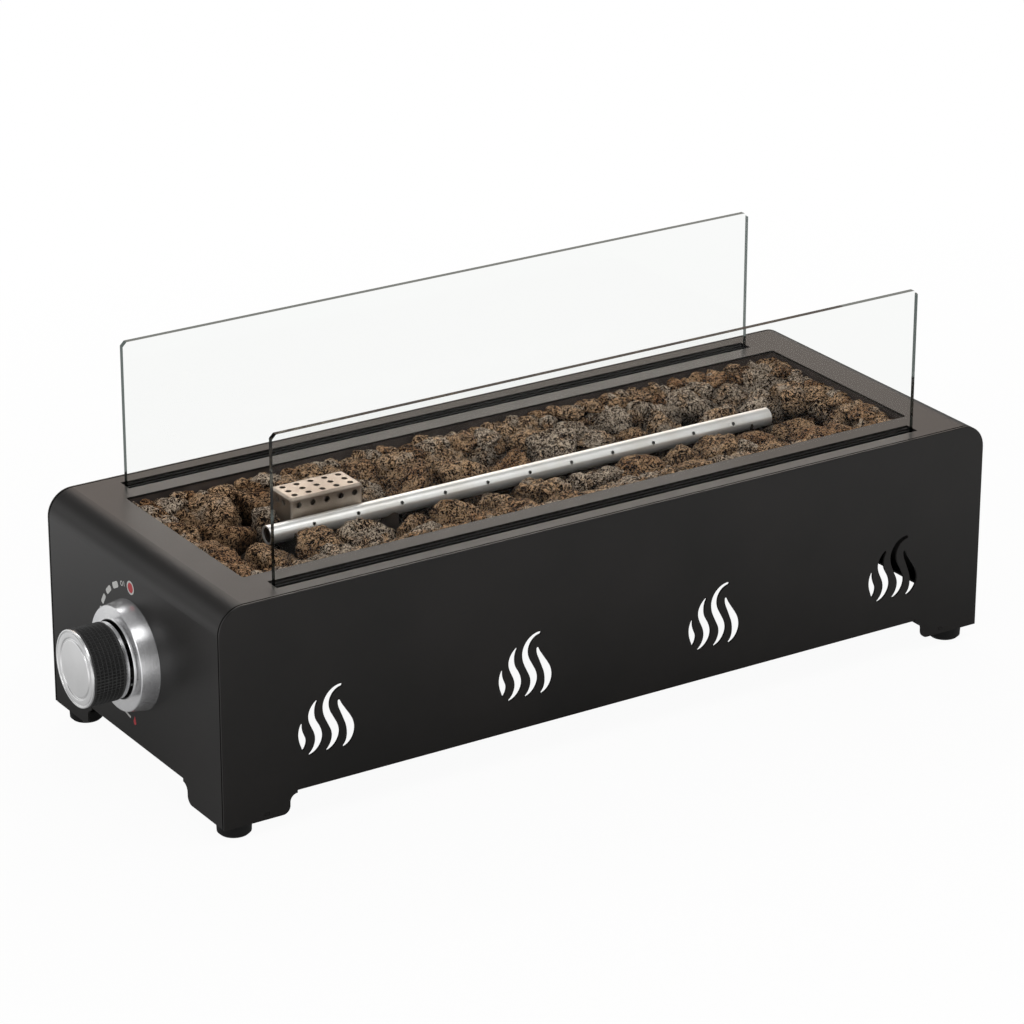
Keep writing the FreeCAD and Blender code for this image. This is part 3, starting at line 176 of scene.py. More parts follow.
def powderCoat():
    # polyester powder baked on sheet steel: near black, faintly pebbled, dull head on and
    # brighter where it is seen at a low angle
    look = {"colour": "#1c1b1a", "cloud": "#232120", "cloudMm": 70, "pebbleMm": 1.1, "pebbleDeep": 0.003,
            "smooth": 0.33, "rough": 0.41, "specular": 0.16}
    material, tree, shader, out, coords = newMaterial("powderCoat", Specular_IOR_Level=look["specular"])
    cloud = addNode(tree, "TexNoise", Vector=coords, Scale=perMm(look["cloudMm"]), Detail=4.0)
    colour = addNode(tree, "ValToRGB", [(0.3, look["colour"]), (0.75, look["cloud"])], Fac=cloud.outputs["Fac"])
    pebble = addNode(tree, "TexNoise", Vector=coords, Scale=perMm(look["pebbleMm"]), Detail=2.0)
    rough = addNode(tree, "MapRange", Value=pebble.outputs["Fac"], To_Min=look["smooth"],
                    To_Max=look["rough"])
    skin = addNode(tree, "Bump", Height=pebble.outputs["Fac"], Distance=look["pebbleDeep"] * mm, Strength=1.0)
    tree.links.new(colour.outputs[0], shader.inputs["Base Color"])
    tree.links.new(rough.outputs[0], shader.inputs["Roughness"])
    tree.links.new(skin.outputs[0], shader.inputs["Normal"])
    return material


def workedMetal(name, colour, stain, roughness, grainMm=0.5, along=(1, 1, 1), deep=0.004, metallic=1.0):
    # metal with the marks of its making: grainMm across them, along below 1 draws them out
    look = {"stainMm": 25, "stained": 0.38, "clean": 0.62, "swing": 0.25}
    material, tree, shader, out, coords = newMaterial(name, Metallic=metallic)
    drawn = addNode(tree, "Mapping", Vector=coords, Scale=along).outputs[0]
    marks = addNode(tree, "TexNoise", Vector=drawn, Scale=perMm(grainMm), Detail=3.0).outputs["Fac"]
    patches = addNode(tree, "TexNoise", Vector=coords, Scale=perMm(look["stainMm"]), Detail=3.0).outputs["Fac"]
    tone = addNode(tree, "ValToRGB", [(look["stained"], stain), (look["clean"], colour)], Fac=patches)
    rough = addNode(tree, "MapRange", Value=marks, To_Min=roughness * (1 - look["swing"]),
                    To_Max=roughness * (1 + look["swing"]))
    relief = addNode(tree, "Bump", Height=marks, Distance=deep * mm, Strength=1.0)
    tree.links.new(tone.outputs[0], shader.inputs["Base Color"])
    tree.links.new(rough.outputs[0], shader.inputs["Roughness"])
    tree.links.new(relief.outputs[0], shader.inputs["Normal"])
    return material


# the well colour is painted shade: near black inside the bezel, round the grip
bezelLook = {"metallic": 0.85, "wellRadius": 26.6, "well": "#0b0b0b"}


def shadeBezelWell(material):
    # painted shade: the bezel's well, round the knob's axis, is painted black and not metallic, for the shade
    # between the bezel and the grip
    tree = material.node_tree
    shader = next(node for node in tree.nodes if node.type == "BSDF_PRINCIPLED")
    coords = addNode(tree, "TexCoord").outputs["Object"]
    axis = (0, 0, knobAxisZ * mm)
    fromAxis = addNode(tree, "VectorMath", operation="SUBTRACT", in0=coords, in1=axis).outputs[0]
    flat = addNode(tree, "VectorMath", operation="MULTIPLY", in0=fromAxis, in1=(0, 1, 1)).outputs[0]
    far = addNode(tree, "VectorMath", operation="LENGTH", in0=flat).outputs["Value"]
    inside = addNode(tree, "Math", operation="LESS_THAN", in0=far, in1=bezelLook["wellRadius"] * mm).outputs[0]
    polished = shader.inputs["Base Color"].links[0].from_socket
    tone = addNode(tree, "MixRGB", Fac=inside, Color1=polished, Color2=bezelLook["well"])
    shine = bezelLook["metallic"]
    gleam = addNode(tree, "Math", operation="MULTIPLY_ADD", in0=inside, in1=-shine, in2=shine).outputs[0]
    tree.links.new(tone.outputs[0], shader.inputs["Base Color"])
    tree.links.new(gleam, shader.inputs["Metallic"])
    return material


def mouldedFinish(name, colour, shade, roughness, grainMm=0.6, deep=0.01, specular=0.4):
    # moulded plastic, rubber, enamel or ceramic: one body colour with a fine even grain
    look = {"patchMm": 14, "swing": 0.06}
    material, tree, shader, out, coords = newMaterial(name, Specular_IOR_Level=specular)
    patches = addNode(tree, "TexNoise", Vector=coords, Scale=perMm(look["patchMm"]), Detail=3.0).outputs["Fac"]
    tone = addNode(tree, "ValToRGB", [(0.35, shade), (0.65, colour)], Fac=patches)
    fine = addNode(tree, "TexNoise", Vector=coords, Scale=perMm(grainMm), Detail=2.0).outputs["Fac"]
    rough = addNode(tree, "MapRange", Value=fine, To_Min=roughness - look["swing"],
                    To_Max=roughness + look["swing"])
    relief = addNode(tree, "Bump", Height=fine, Distance=deep * mm, Strength=1.0)
    tree.links.new(tone.outputs[0], shader.inputs["Base Color"])
    tree.links.new(rough.outputs[0], shader.inputs["Roughness"])
    tree.links.new(relief.outputs[0], shader.inputs["Normal"])
    return material


def clearGlass():
    # tempered float glass: clear through its faces, and dark green-grey where an edge is
    # seen, because light has travelled the length of the pane
    look = {"face": "#f9faf9", "edge": "#1f2523", "ior": 1.1}
    material, tree, shader, out, coords = newMaterial("temperedGlass", Roughness=0.0, IOR=look["ior"],
                                                      Transmission_Weight=1.0)
    normal = addNode(tree, "TexCoord").outputs["Normal"]
    across = addNode(tree, "SeparateXYZ", Vector=normal).outputs["Y"]
    flat = addNode(tree, "Math", operation="ABSOLUTE", in0=across).outputs[0]
    tone = addNode(tree, "ValToRGB", [(0.55, look["edge"]), (0.9, look["face"])], Fac=flat)
    tree.links.new(tone.outputs[0], shader.inputs["Base Color"])
    lamp = addNode(tree, "LightPath").outputs["Is Shadow Ray"]
    passing = addNode(tree, "BsdfTransparent")
    mix = addNode(tree, "MixShader", Fac=lamp, in1=shader.outputs[0], in2=passing.outputs[0])
    tree.links.new(mix.outputs[0], out.inputs["Surface"])
    return material


def lavaStone():
    # foamed basalt: thin tan, rusty or grey webs of stone, with pores drawn out between them that are near black,
    # partly the dark stone and partly painted shade in the hollows
    look = {"web": "#dfb78d", "webRust": "#cb9769", "webGrey": "#b9a996", "stone": "#4c3a2c", "pit": "#0a0706",
            "poreMm": 1.7, "drawnMm": 6, "drawnOut": 6, "patchMm": 11, "patchShare": 0.22, "deep": 0.9,
            "tintShare": 0.55, "tan": (0.45, 0.75), "grey": (0.8, 1.0), "pitTo": 0.56, "stoneFrom": 0.605,
            # the two last entries are painted shade: how dark the stones get low in the bed, and between which
            # heights
            "lit": (0.597, 0.68), "darkTint": 0.3, "darkShare": 0.45, "bedShade": 0.85, "bedShadeZ": (137, 153)}
    material, tree, shader, out, coords = newMaterial("lavaStone", Specular_IOR_Level=0.15, Roughness=0.95)
    pull = addNode(tree, "TexNoise", Vector=coords, Scale=perMm(look["drawnMm"]), Detail=2.0).outputs["Color"]
    reach = (look["drawnOut"] * mm,) * 3
    drawn = addNode(tree, "VectorMath", operation="MULTIPLY_ADD", in0=pull, in1=reach, in2=coords).outputs[0]
    pores = addNode(tree, "TexNoise", Vector=drawn, Scale=perMm(look["poreMm"]), Detail=3.0, Roughness=0.65,
                    Distortion=1.1).outputs["Fac"]
    patches = addNode(tree, "TexNoise", Vector=coords, Scale=perMm(look["patchMm"]), Detail=3.0).outputs["Fac"]
    height = addNode(tree, "Math", operation="MULTIPLY_ADD", in0=patches, in1=look["patchShare"],
                     in2=pores).outputs[0]
    stone = addNode(tree, "Attribute", attribute_name="stoneTint").outputs["Fac"]
    which = addNode(tree, "Math", operation="MULTIPLY_ADD", in0=stone, in1=look["tintShare"],
                    in2=patches).outputs[0]
    tanner = addNode(tree, "MapRange", Value=which, From_Min=look["tan"][0], From_Max=look["tan"][1]).outputs[0]
    greyer = addNode(tree, "MapRange", Value=which, From_Min=look["grey"][0], From_Max=look["grey"][1]).outputs[0]
    web = addNode(tree, "MixRGB", Fac=tanner, Color1=look["webRust"], Color2=look["web"]).outputs[0]
    web = addNode(tree, "MixRGB", Fac=greyer, Color1=web, Color2=look["webGrey"]).outputs[0]
    # painted shade: the lowest parts of the relief, the pores, take the near-black colour, and the raised webs the
    # tan
    low = addNode(tree, "ValToRGB", [(look["pitTo"], look["pit"]), (look["stoneFrom"], look["stone"])],
                  Fac=height).outputs[0]
    lit = addNode(tree, "MapRange", Value=height, From_Min=look["lit"][0], From_Max=look["lit"][1]).outputs[0]
    tone = addNode(tree, "MixRGB", Fac=lit, Color1=low, Color2=web).outputs[0]
    darker = addNode(tree, "MapRange", Value=stone, From_Min=look["darkTint"], From_Max=1.0,
                     To_Min=look["darkShare"], To_Max=0.0).outputs[0]
    tone = addNode(tree, "MixRGB", Fac=darker, Color1=tone, Color2=look["pit"]).outputs[0]
    # painted shade, darker down in the bed where the stones shade each other
    rise = addNode(tree, "SeparateXYZ", Vector=coords).outputs["Z"]
    bedShadeShare = addNode(tree, "MapRange", Value=rise, From_Min=look["bedShadeZ"][0] * mm, From_Max=look["bedShadeZ"][1] * mm,
                    To_Min=look["bedShade"], To_Max=0.0).outputs[0]
    tone = addNode(tree, "MixRGB", Fac=bedShadeShare, Color1=tone, Color2=look["pit"]).outputs[0]
    tree.links.new(tone, shader.inputs["Base Color"])
    relief = addNode(tree, "Bump", Height=height, Distance=look["deep"] * mm, Strength=1.0)
    tree.links.new(relief.outputs[0], shader.inputs["Normal"])
    return material


def printInk(name, colour, worn):
    # screen-printed ink baked on the coat: flat and opaque
    look = {"speckMm": 0.5, "smooth": 0.45, "rough": 0.6}
    material, tree, shader, out, coords = newMaterial(name, Specular_IOR_Level=0.3)
    speck = addNode(tree, "TexNoise", Vector=coords, Scale=perMm(look["speckMm"]), Detail=2.0).outputs["Fac"]
    tone = addNode(tree, "ValToRGB", [(0.3, worn), (0.5, colour)], Fac=speck)
    rough = addNode(tree, "MapRange", Value=speck, To_Min=look["smooth"], To_Max=look["rough"])
    tree.links.new(tone.outputs[0], shader.inputs["Base Color"])
    tree.links.new(rough.outputs[0], shader.inputs["Roughness"])
    return material


coat = powderCoat()
glass = clearGlass()
lava = lavaStone()
whiteInk = printInk("whiteInk", "#cfcfcd", "#b4b4b2")
redInk = printInk("redInk", "#b8343a", "#8e2a2e")
satinChrome = workedMetal("satinChrome", "#d8d8d9", "#cfcfd1", 0.2, 0.3, deep=0.001)
bezelChrome = shadeBezelWell(workedMetal("bezelChrome", "#e5e5e6", "#dcdcde", 0.26, 0.3, deep=0.001,
                                     metallic=bezelLook["metallic"]))
spunChrome = workedMetal("spunChrome", "#e2e2e2", "#dadada", 0.3, 0.25, deep=0.002)
satinStainless = workedMetal("satinStainless", "#e6e5e3", "#dbd8d3", 0.36, 0.35, (0.03, 1, 1), 0.002, metallic=0.75)
perforatedStainless = workedMetal("perforatedStainless", "#a69b8f", "#8d8175", 0.38, 0.4, (0.2, 1, 1), 0.003)
scorchedSteel = workedMetal("scorchedSteel", "#3d342e", "#241d19", 0.55, 0.8)
zincPlate = workedMetal("zincPlate", "#b9babc", "#a6a8ab", 0.34, 0.6)
springSteel = workedMetal("springSteel", "#8e9094", "#7d7f83", 0.3, 0.3)
castAluminium = workedMetal("castAluminium", "#b4b5b6", "#a2a3a4", 0.52, 0.9, deep=0.02)
drawnAluminium = workedMetal("drawnAluminium", "#cfd0d1", "#c2c3c4", 0.3, 0.3)
turnedBrass = workedMetal("turnedBrass", "#d6b268", "#c39d54", 0.26, 0.3)
drawnCopper = workedMetal("drawnCopper", "#c8845c", "#9c5f40", 0.34, 0.4)
gripNylon = mouldedFinish("gripNylon", "#363636", "#313131", 0.5, 0.5, 0.004, 0.4)
# dimple floors: rougher and duller, and darker as painted shade in the dimples
gripDimpleShade = mouldedFinish("gripDimpleShade", "#2a2a2a", "#262626", 0.7, 0.5, 0.004, 0.15)
igniterPlastic = mouldedFinish("igniterPolyamide", "#222223", "#1b1b1c", 0.45)
footRubber = mouldedFinish("footRubber", "#141414", "#101010", 0.62, 0.7, 0.01, 0.25)
blackSilicone = mouldedFinish("blackSilicone", "#161616", "#121212", 0.6, specular=0.3)
trayEnamel = mouldedFinish("trayEnamel", "#4f4743", "#433c38", 0.5, 1.5, 0.006, 0.25)
aluminaCeramic = mouldedFinish("aluminaCeramic", "#ebe7dd", "#ddd8cc", 0.55)
leadSleeve = mouldedFinish("siliconeSleeve", "#93301f", "#7d2819", 0.5)

paint(coat, "housing_wrap", "front_panel", "rear_panel", "front_glass_channel", "rear_glass_channel", *footPlates)
paint(bezelChrome, "bezel")
paint(satinChrome, "knob_ring")
paint(spunChrome, "knob_cap")
paint(satinStainless, "burner_tube", "flame_sensor")
paint(scorchedSteel, "burner_cap_left", "burner_cap_right", "burner_bracket_left", "burner_bracket_right")
paint(perforatedStainless, "guard_box", "mixer_tube")
paint(springSteel, "stem_spring")
paint(zincPlate, "foot_screws", "foot_nuts", "valve_bonnet", "valve_screws", "valve_stem", "air_shutter",
      "heat_shield")
paint(castAluminium, "valve_body")
paint(drawnAluminium, "burner_pipe", "inlet_pipe")
paint(turnedBrass, "valve_plug", "burner_pipe_nut", "inlet_pipe_nut", "gas_orifice", "gas_inlet", "inlet_nut")
paint(drawnCopper, "sensor_lead")
paint(gripNylon, "knob_grip")
paint(igniterPlastic, "piezo_igniter")
paint(footRubber, *rubberFeet)
paint(blackSilicone, "front_glass_liner", "rear_glass_liner")
paint(trayEnamel, "burner_tray")
paint(lava, "lava_rocks")
paint(aluminaCeramic, "igniter_electrode")
paint(leadSleeve, "igniter_lead")
paint(glass, "front_glass", "rear_glass")
print("finishes ready")


# lava rocks: a few kinds of chipped stone, copied on to the places of the bed

rockBed = {"seed": 21, "kinds": 9, "chips": 10, "chipNear": 0.24, "chipFar": 0.42, "voxel": 0.038,
           "lumpSize": 0.27, "lumpDeep": 0.11, "pitSize": 0.08, "pitDeep": 0.055, "midKeep": 0.42, "smallKeep": 0.12,
           "apart": 3.0, "tilt": 0.9, "tall": 0.95, "grow": (1.06, 1.30), "growMiddle": 1.05, "middleHalf": 12.0,
           "edgeX": 261.9, "edgeY": 78.4, "floor": 111.6, "lowLayer": 24.0, "lowShort": 4.0,
           "tubeEnd": 204.0, "tubeSide": 6.9, "guard": (-178.5, 6.5, -122.0, 35.5),
           # along the walls: least and most size, least and most height of the top, depth
           "wallRows": (((20.0, 34.0), (149.0, 154.0), 22.0), ((17.0, 30.0), (155.5, 160.0), 11.0),
                        ((9.0, 15.0), (156.5, 160.3), 8.0)),
           "wallStep": 0.8, "wallLast": 5.0, "lowWall": 15.0}


def rockKind(draw, number):
    bpy.ops.mesh.primitive_ico_sphere_add(subdivisions=3, radius=0.5, location=(0, 0, 0))
    stone = bpy.context.object
    bpy.ops.object.mode_set(mode="EDIT")
    for chip in range(rockBed["chips"]):
        way = Vector((draw.gauss(0, 1), draw.gauss(0, 1), draw.gauss(0, 1))).normalized()
        bpy.ops.mesh.select_all(action="SELECT")
        bpy.ops.mesh.bisect(plane_co=way * draw.uniform(rockBed["chipNear"], rockBed["chipFar"]), plane_no=way,
                            use_fill=True, clear_outer=True)
    bpy.ops.mesh.select_all(action="SELECT")
    # another part of the textures for each kind
    bpy.ops.transform.translate(value=(rockBed["apart"] * number, 0, 0))
    bpy.ops.object.mode_set(mode="OBJECT")
    remesh = stone.modifiers.new("even", "REMESH")
    remesh.mode = "VOXEL"
    remesh.voxel_size = rockBed["voxel"]
    for name, kind, size, deep in (("lumps", "CLOUDS", "lumpSize", "lumpDeep"),
                                   ("pits", "VORONOI", "pitSize", "pitDeep")):
        texture = bpy.data.textures.new(name, kind)
        texture.noise_scale = rockBed[size]
        push = stone.modifiers.new(name, "DISPLACE")
        push.texture = texture
        push.texture_coords = "LOCAL"
        push.mid_level = 0.5
        push.strength = rockBed[deep]
    for modifier in list(stone.modifiers):
        bpy.ops.object.modifier_apply(modifier=modifier.name)
    bpy.ops.object.shade_smooth()
    mesh = stone.data.copy()
    bpy.data.objects.remove(stone)
    return mesh


def thinned(mesh, keep):
    stone = newObject("thinned", mesh.copy())
    takeOver(stone)
    thin = stone.modifiers.new("thin", "DECIMATE")
    thin.ratio = keep
    bpy.ops.object.modifier_apply(modifier="thin")
    small = stone.data.copy()
    bpy.data.objects.remove(stone)
    return small


def layStone(mesh, draw, low, high):
    # turned at random, then fitted to the box between two corners
    copy = mesh.copy()
    turn = Matrix.Rotation(draw.uniform(0, 2 * math.pi), 4, "Z")
    tilt = Matrix.Rotation(draw.uniform(-rockBed["tilt"], rockBed["tilt"]), 4, "X")
    copy.transform(turn @ tilt)
    least, most = boxOf([v.co for v in copy.vertices])
    size = [(high[i] - low[i]) / (most[i] - least[i]) for i in range(3)]
    centred = Matrix.Translation(-(least + most) / 2)
    copy.transform(Matrix.Translation((low + high) / 2) @ Matrix.Diagonal((*size, 1)) @ centred)
    tint = copy.attributes.new("stoneTint", "FLOAT", "POINT")
    tint.data.foreach_set("value", [draw.random()] * len(copy.vertices))
    copy.materials.clear()
    copy.materials.append(lava)
    return newObject("stone", copy)


def bedPlaces():
    # the box of each separate rock of the CAD bed
    mergedCopy("lava_rocks", "bed")
    bpy.ops.mesh.separate(type="LOOSE")
    bpy.ops.object.mode_set(mode="OBJECT")
    boxes = []
    for part in list(bpy.context.selected_objects):
        boxes.append(boxOf([part.matrix_world @ v.co for v in part.data.vertices]))
        bpy.data.objects.remove(part)
    return sorted(boxes, key=lambda b: (round(b[0].y, 4), round(b[0].x, 4)))


def wallPlaces(draw):
    # boxes of the stones that close the bed along its four walls
    edge = Vector((rockBed["edgeX"], rockBed["edgeY"]))
    sides = ((0, 1, 1), (0, 1, -1), (1, 0, 1), (1, 0, -1))
    for (along, across, side), (size, top, deep) in itertools.product(sides, rockBed["wallRows"]):
        at = -edge[along]
        while at < edge[along] - rockBed["wallLast"]:
            long = draw.uniform(*size)
            low, high = Vector((0, 0, 0)), Vector((0, 0, draw.uniform(*top)))
            low[along], high[along] = at, min(at + long, edge[along])
            near = edge[across] - draw.uniform(*size)
            low[across], high[across] = sorted((side * near, side * edge[across]))
            low.z = high.z - deep
            yield low * mm, high * mm
            at += long * rockBed["wallStep"]


def grown(low, high, share):
    # a bed stone fills out towards its neighbours, but not past the walls, the tube or the guard
    edge = Vector((rockBed["edgeX"], rockBed["edgeY"])) * mm
    tube, tubeEnd = rockBed["tubeSide"] * mm, rockBed["tubeEnd"] * mm
    middle = (low + high) / 2
    spread = (high - low) / 2 * share
    newLow = Vector((max(middle.x - spread.x, -edge.x), max(middle.y - spread.y, -edge.y), low.z))
    newHigh = Vector((min(middle.x + spread.x, edge.x), min(middle.y + spread.y, edge.y), high.z))
    if newLow.x < tubeEnd and newHigh.x > -tubeEnd:
        if middle.y > tube:
            newLow.y = max(newLow.y, min(tube, low.y))
        elif middle.y < -tube:
            newHigh.y = min(newHigh.y, max(-tube, high.y))
    left, front, right, rear = (v * mm for v in rockBed["guard"])
    if newLow.x < right and newHigh.x > left and newLow.y < rear and newHigh.y > front:
        return low, high
    return newLow, newHigh


def lavaBed():
    draw = random.Random(rockBed["seed"])
    places = bedPlaces()
    deselect()
    kinds = [rockKind(draw, number) for number in range(rockBed["kinds"])]
    midKinds = [thinned(mesh, rockBed["midKeep"]) for mesh in kinds]
    smallKinds = [thinned(mesh, rockBed["smallKeep"]) for mesh in kinds]
    half = rockBed["middleHalf"] * mm
    rows = {}

    def lay(row, meshes, low, high):
        rows.setdefault(row, []).append(layStone(meshes[draw.randrange(len(meshes))], draw, low, high))

    for low, high in places:
        middle = (low + high) / 2
        row = "front" if middle.y < -half else "rear" if middle.y > half else "middle"
        share = rockBed["growMiddle"] if row == "middle" else draw.uniform(*rockBed["grow"])
        low, high = grown(low, high, share)
        top = low.copy()
        top.z = max(low.z, high.z - rockBed["tall"] * max(high.x - low.x, high.y - low.y))
        lay(row, kinds, top, high)
        under = high.copy()
        under.z = min(high.z - rockBed["lowShort"] * mm, (rockBed["floor"] + rockBed["lowLayer"]) * mm)
        lay("low", smallKinds, low, under)
    for low, high in wallPlaces(draw):
        # in three pieces, so that none has too many faces
        row = "wall_front" if low.y + high.y < 0 else "wall_rear"
        row = "wall_low" if high.z - low.z > rockBed["lowWall"] * mm else row
        lay(row, midKinds, low, high)
    for row, stones in rows.items():
        bed = joined(stones, "lava_rocks_" + row)
        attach(bed, "casing")
        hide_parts("lava_rocks")
        print("lava rocks", row, len(stones), "stones", len(bed.data.polygons), "faces")


lavaBed()


# knob: grip with rows of pressed dimples, and its bright face

grip = {"radius": 25.95, "dimple": 0.5, "dimpleInset": 0.35, "around": 72, "rows": 7, "rowWide": 2.85,
        "start": 18.6, "end": 40.7, "wall": 2.3, "pocket": 18.6, "hub": 8.0, "hubShort": 0.6, "bore": 4.1,
        "edge": 0.45, "rimOnly": 0.1, "smoothUnder": 28}


def outFromLeft(distance):
    # turns a piece built along +Z so that it stands out from the left face, on the knob's axis
    place = Vector((leftFace - distance, 0, knobAxisZ)) * mm
    return Matrix.Translation(place) @ Matrix.Rotation(-math.pi / 2, 4, "Y")


def standingCylinder(around, radius, long):
    # stands on the origin along +Z
    deselect()
    bpy.ops.mesh.primitive_cylinder_add(vertices=around, radius=radius * mm, depth=long * mm,
                                        end_fill_type="NGON", location=(0, 0, long / 2 * mm))
    bpy.ops.object.transform_apply(location=True)
    return bpy.context.object


def knobGrip():
    long = grip["end"] - grip["start"]
    piece = standingCylinder(grip["around"], grip["radius"], long)
    bpy.ops.object.mode_set(mode="EDIT")
    first = (long - grip["rows"] * grip["rowWide"]) / 2
    for cut in range(grip["rows"] + 1):
        bpy.ops.mesh.select_all(action="SELECT")
        bpy.ops.mesh.bisect(plane_co=(0, 0, (first + cut * grip["rowWide"]) * mm), plane_no=(0, 0, 1))

    def isDimple(centre, normal):
        row = (centre.z / mm - first) / grip["rowWide"]
        column = math.floor(math.degrees(math.atan2(centre.y, centre.x)) / 360 * grip["around"])
        return abs(normal.z) < 0.5 and 0 < row < grip["rows"] and (math.floor(row) + column) % 2 == 0

    pickFaces(piece, isDimple)
    bpy.ops.mesh.inset(thickness=grip["dimpleInset"] * mm, depth=-grip["dimple"] * mm, use_individual=True)
    # the dimple floors take the darker finish, painted shade
    piece.data.materials.append(gripNylon)
    piece.data.materials.append(gripDimpleShade)
    piece.active_material_index = 1
    bpy.ops.object.material_slot_assign()
    # pocket from behind, with the hub left standing and bored for the stem
    hubLong = grip["pocket"] - grip["hubShort"]
    steps = ((grip["wall"], grip["pocket"]), (grip["radius"] - grip["wall"] - grip["hub"], -hubLong),
             (grip["hub"] - grip["bore"], hubLong))
    pickFaces(piece, lambda centre, normal: normal.z < -0.9 and abs(centre.z) < 1e-5)
    for inset, deep in steps:
        bpy.ops.mesh.inset(thickness=inset * mm, depth=0)
        bpy.ops.mesh.extrude_region_move(TRANSFORM_OT_translate={"value": (0, 0, deep * mm)})
    ends = (0.0, long * mm)
    pickEdges(piece, lambda a, b: any(abs(a.z - z) < 1e-6 and abs(b.z - z) < 1e-6 for z in ends)
              and min(a.xy.length, b.xy.length) > (grip["radius"] - grip["rimOnly"]) * mm)
    bpy.ops.mesh.bevel(offset=grip["edge"] * mm, segments=2, affect="EDGES")
    settle(piece, "knurled_grip", outFromLeft(grip["start"]))
    takeOver(piece)
    bpy.ops.object.shade_smooth_by_angle(angle=math.radians(grip["smoothUnder"]))
    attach(piece, "knob")
    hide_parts("knob_grip")


face = {"around": 128, "radius": 25.9, "start": 40.7, "deep": 1.6, "rim": 1.1, "rimSlope": 0.3, "rimFloor": 0.4,
        "rimGroove": 0.6, "dish": 0.15, "grooveOut": 20.6, "groove": 1.7, "slope": 0.4, "grooveDeep": 0.8,
        "land": 0.6, "edge": 0.3, "edgeOver": 60, "smoothUnder": 40}


def knobFace():
    piece = standingCylinder(face["around"], face["radius"], face["deep"])
    pickFaces(piece, lambda centre, normal: normal.z > 0.9)
    # from the rim inwards: how wide each step is, and how far it rises
    ledge = face["radius"] - face["rim"] - 2 * face["rimSlope"] - face["rimFloor"] - face["grooveOut"]
    steps = ((face["rim"], 0.0), (face["rimSlope"], -face["rimGroove"]), (face["rimFloor"], 0.0),
             (face["rimSlope"], face["rimGroove"] - face["dish"]), (ledge, 0.0),
             (face["slope"], -face["grooveDeep"]), (face["groove"] - 2 * face["slope"], 0.0),
             (face["slope"], face["grooveDeep"]), (face["land"], 0.0))
    for inset, rise in steps:
        bpy.ops.mesh.inset(thickness=inset * mm, depth=rise * mm)
    bpy.ops.object.mode_set(mode="OBJECT")
    takeOver(piece)
    soft = piece.modifiers.new("edges", "BEVEL")
    soft.width = face["edge"] * mm
    soft.segments = 3
    soft.limit_method = "ANGLE"
    soft.angle_limit = math.radians(face["edgeOver"])
    bpy.ops.object.modifier_apply(modifier="edges")
    settle(piece, "knob_face", outFromLeft(face["start"]))
    bpy.ops.object.shade_smooth_by_angle(angle=math.radians(face["smoothUnder"]))
    piece.data.materials.append(spunChrome)
    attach(piece, "knob")
    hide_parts("knob_cap")


knobGrip()
knobFace()
print("knob ready")


# return spring of the valve stem: the CAD coil, smooth-shaded and riding with the plug; the real one closes up
# against the plug as the knob is pressed

spring = {"travel": 4.0, "smoothUnder": 40}


def returnSpring():
    coil = mergedCopy("stem_spring", "return_spring")
    bpy.ops.object.mode_set(mode="OBJECT")
    bpy.ops.object.shade_smooth_by_angle(angle=math.radians(spring["smoothUnder"]))
    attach(coil, "plug")
    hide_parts("stem_spring")
    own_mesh(coil)


returnSpring()
print("spring ready")


# dial: marks printed on the left end round the bezel, angles anticlockwise from the top

dial = {"radius": 46.4, "thick": 0.05, "spot": 4.7, "spotRed": 3.5, "redGap": 0.05, "spotAt": 1.0,
        "onAt": 13.4, "onHigh": 3.5, "onOut": 0.6, "onLine": 0.65, "onRound": -0.58, "onStroke": 0.42,
        "strokeWide": 0.7, "strokeSoft": 0.05,
        "firstBlock": 28.0, "blockStep": 14.8, "blocks": 8, "blockLong": 8.3, "blockWide": 4.3, "blockEnd": 1.0,
        "blockSoft": 0.34, "lineParts": 6, "lineLap": 1.08, "lineSoft": 0.1,
        "lineAt": 160.0, "lineTurn": 13.0, "lineWide": 1.4, "lineOut": 1.2, "flameAt": 178.8, "flameHigh": 6.2,
        "flameOut": 2.4, "flameRound": 0.27, "flamePull": 0.46, "flameSoft": 0.5}


def onLeftFace(angle, radius=dial["radius"], across=0.0):
    # puts a flat mark built round the origin in XY on to the left face, at an angle of the dial
    flat = Matrix(((0, 0, -1, leftFace * mm), (-1, 0, 0, 0), (0, 1, 0, knobAxisZ * mm), (0, 0, 0, 1)))
    return flat @ Matrix.Rotation(math.radians(angle), 4, "Z") @ Matrix.Translation((across * mm, radius * mm, 0))


def printed(piece, ink, place):
    settle(piece, "mark", place)
    takeOver(piece)
    wall = piece.modifiers.new("ink", "SOLIDIFY")
    wall.thickness = dial["thick"] * mm
    wall.offset = 1.0
    bpy.ops.object.modifier_apply(modifier="ink")
    piece.data.materials.clear()
    piece.data.materials.append(ink)
    return piece


def bar(long, wide, soft, place):
    # soft is the share of the width that each corner is rounded by
    deselect()
    bpy.ops.mesh.primitive_plane_add(size=1.0)
    bpy.ops.object.mode_set(mode="EDIT")
    bpy.ops.mesh.select_all(action="SELECT")
    bpy.ops.transform.resize(value=(long * mm, wide * mm, 1))
    bpy.ops.mesh.bevel(offset=wide * soft * mm, segments=4, affect="VERTICES")
    return printed(bpy.context.object, whiteInk, place)


def ring(radius, inner, ink, place):
    deselect()
    bpy.ops.mesh.primitive_circle_add(vertices=48, radius=radius * mm, fill_type="NGON")
    piece = bpy.context.object
    if inner:
        pickFaces(piece, lambda centre, normal: True)
        bpy.ops.mesh.inset(thickness=(radius - inner) * mm, depth=0)
        bpy.ops.mesh.delete(type="FACE")
    return printed(piece, ink, place)


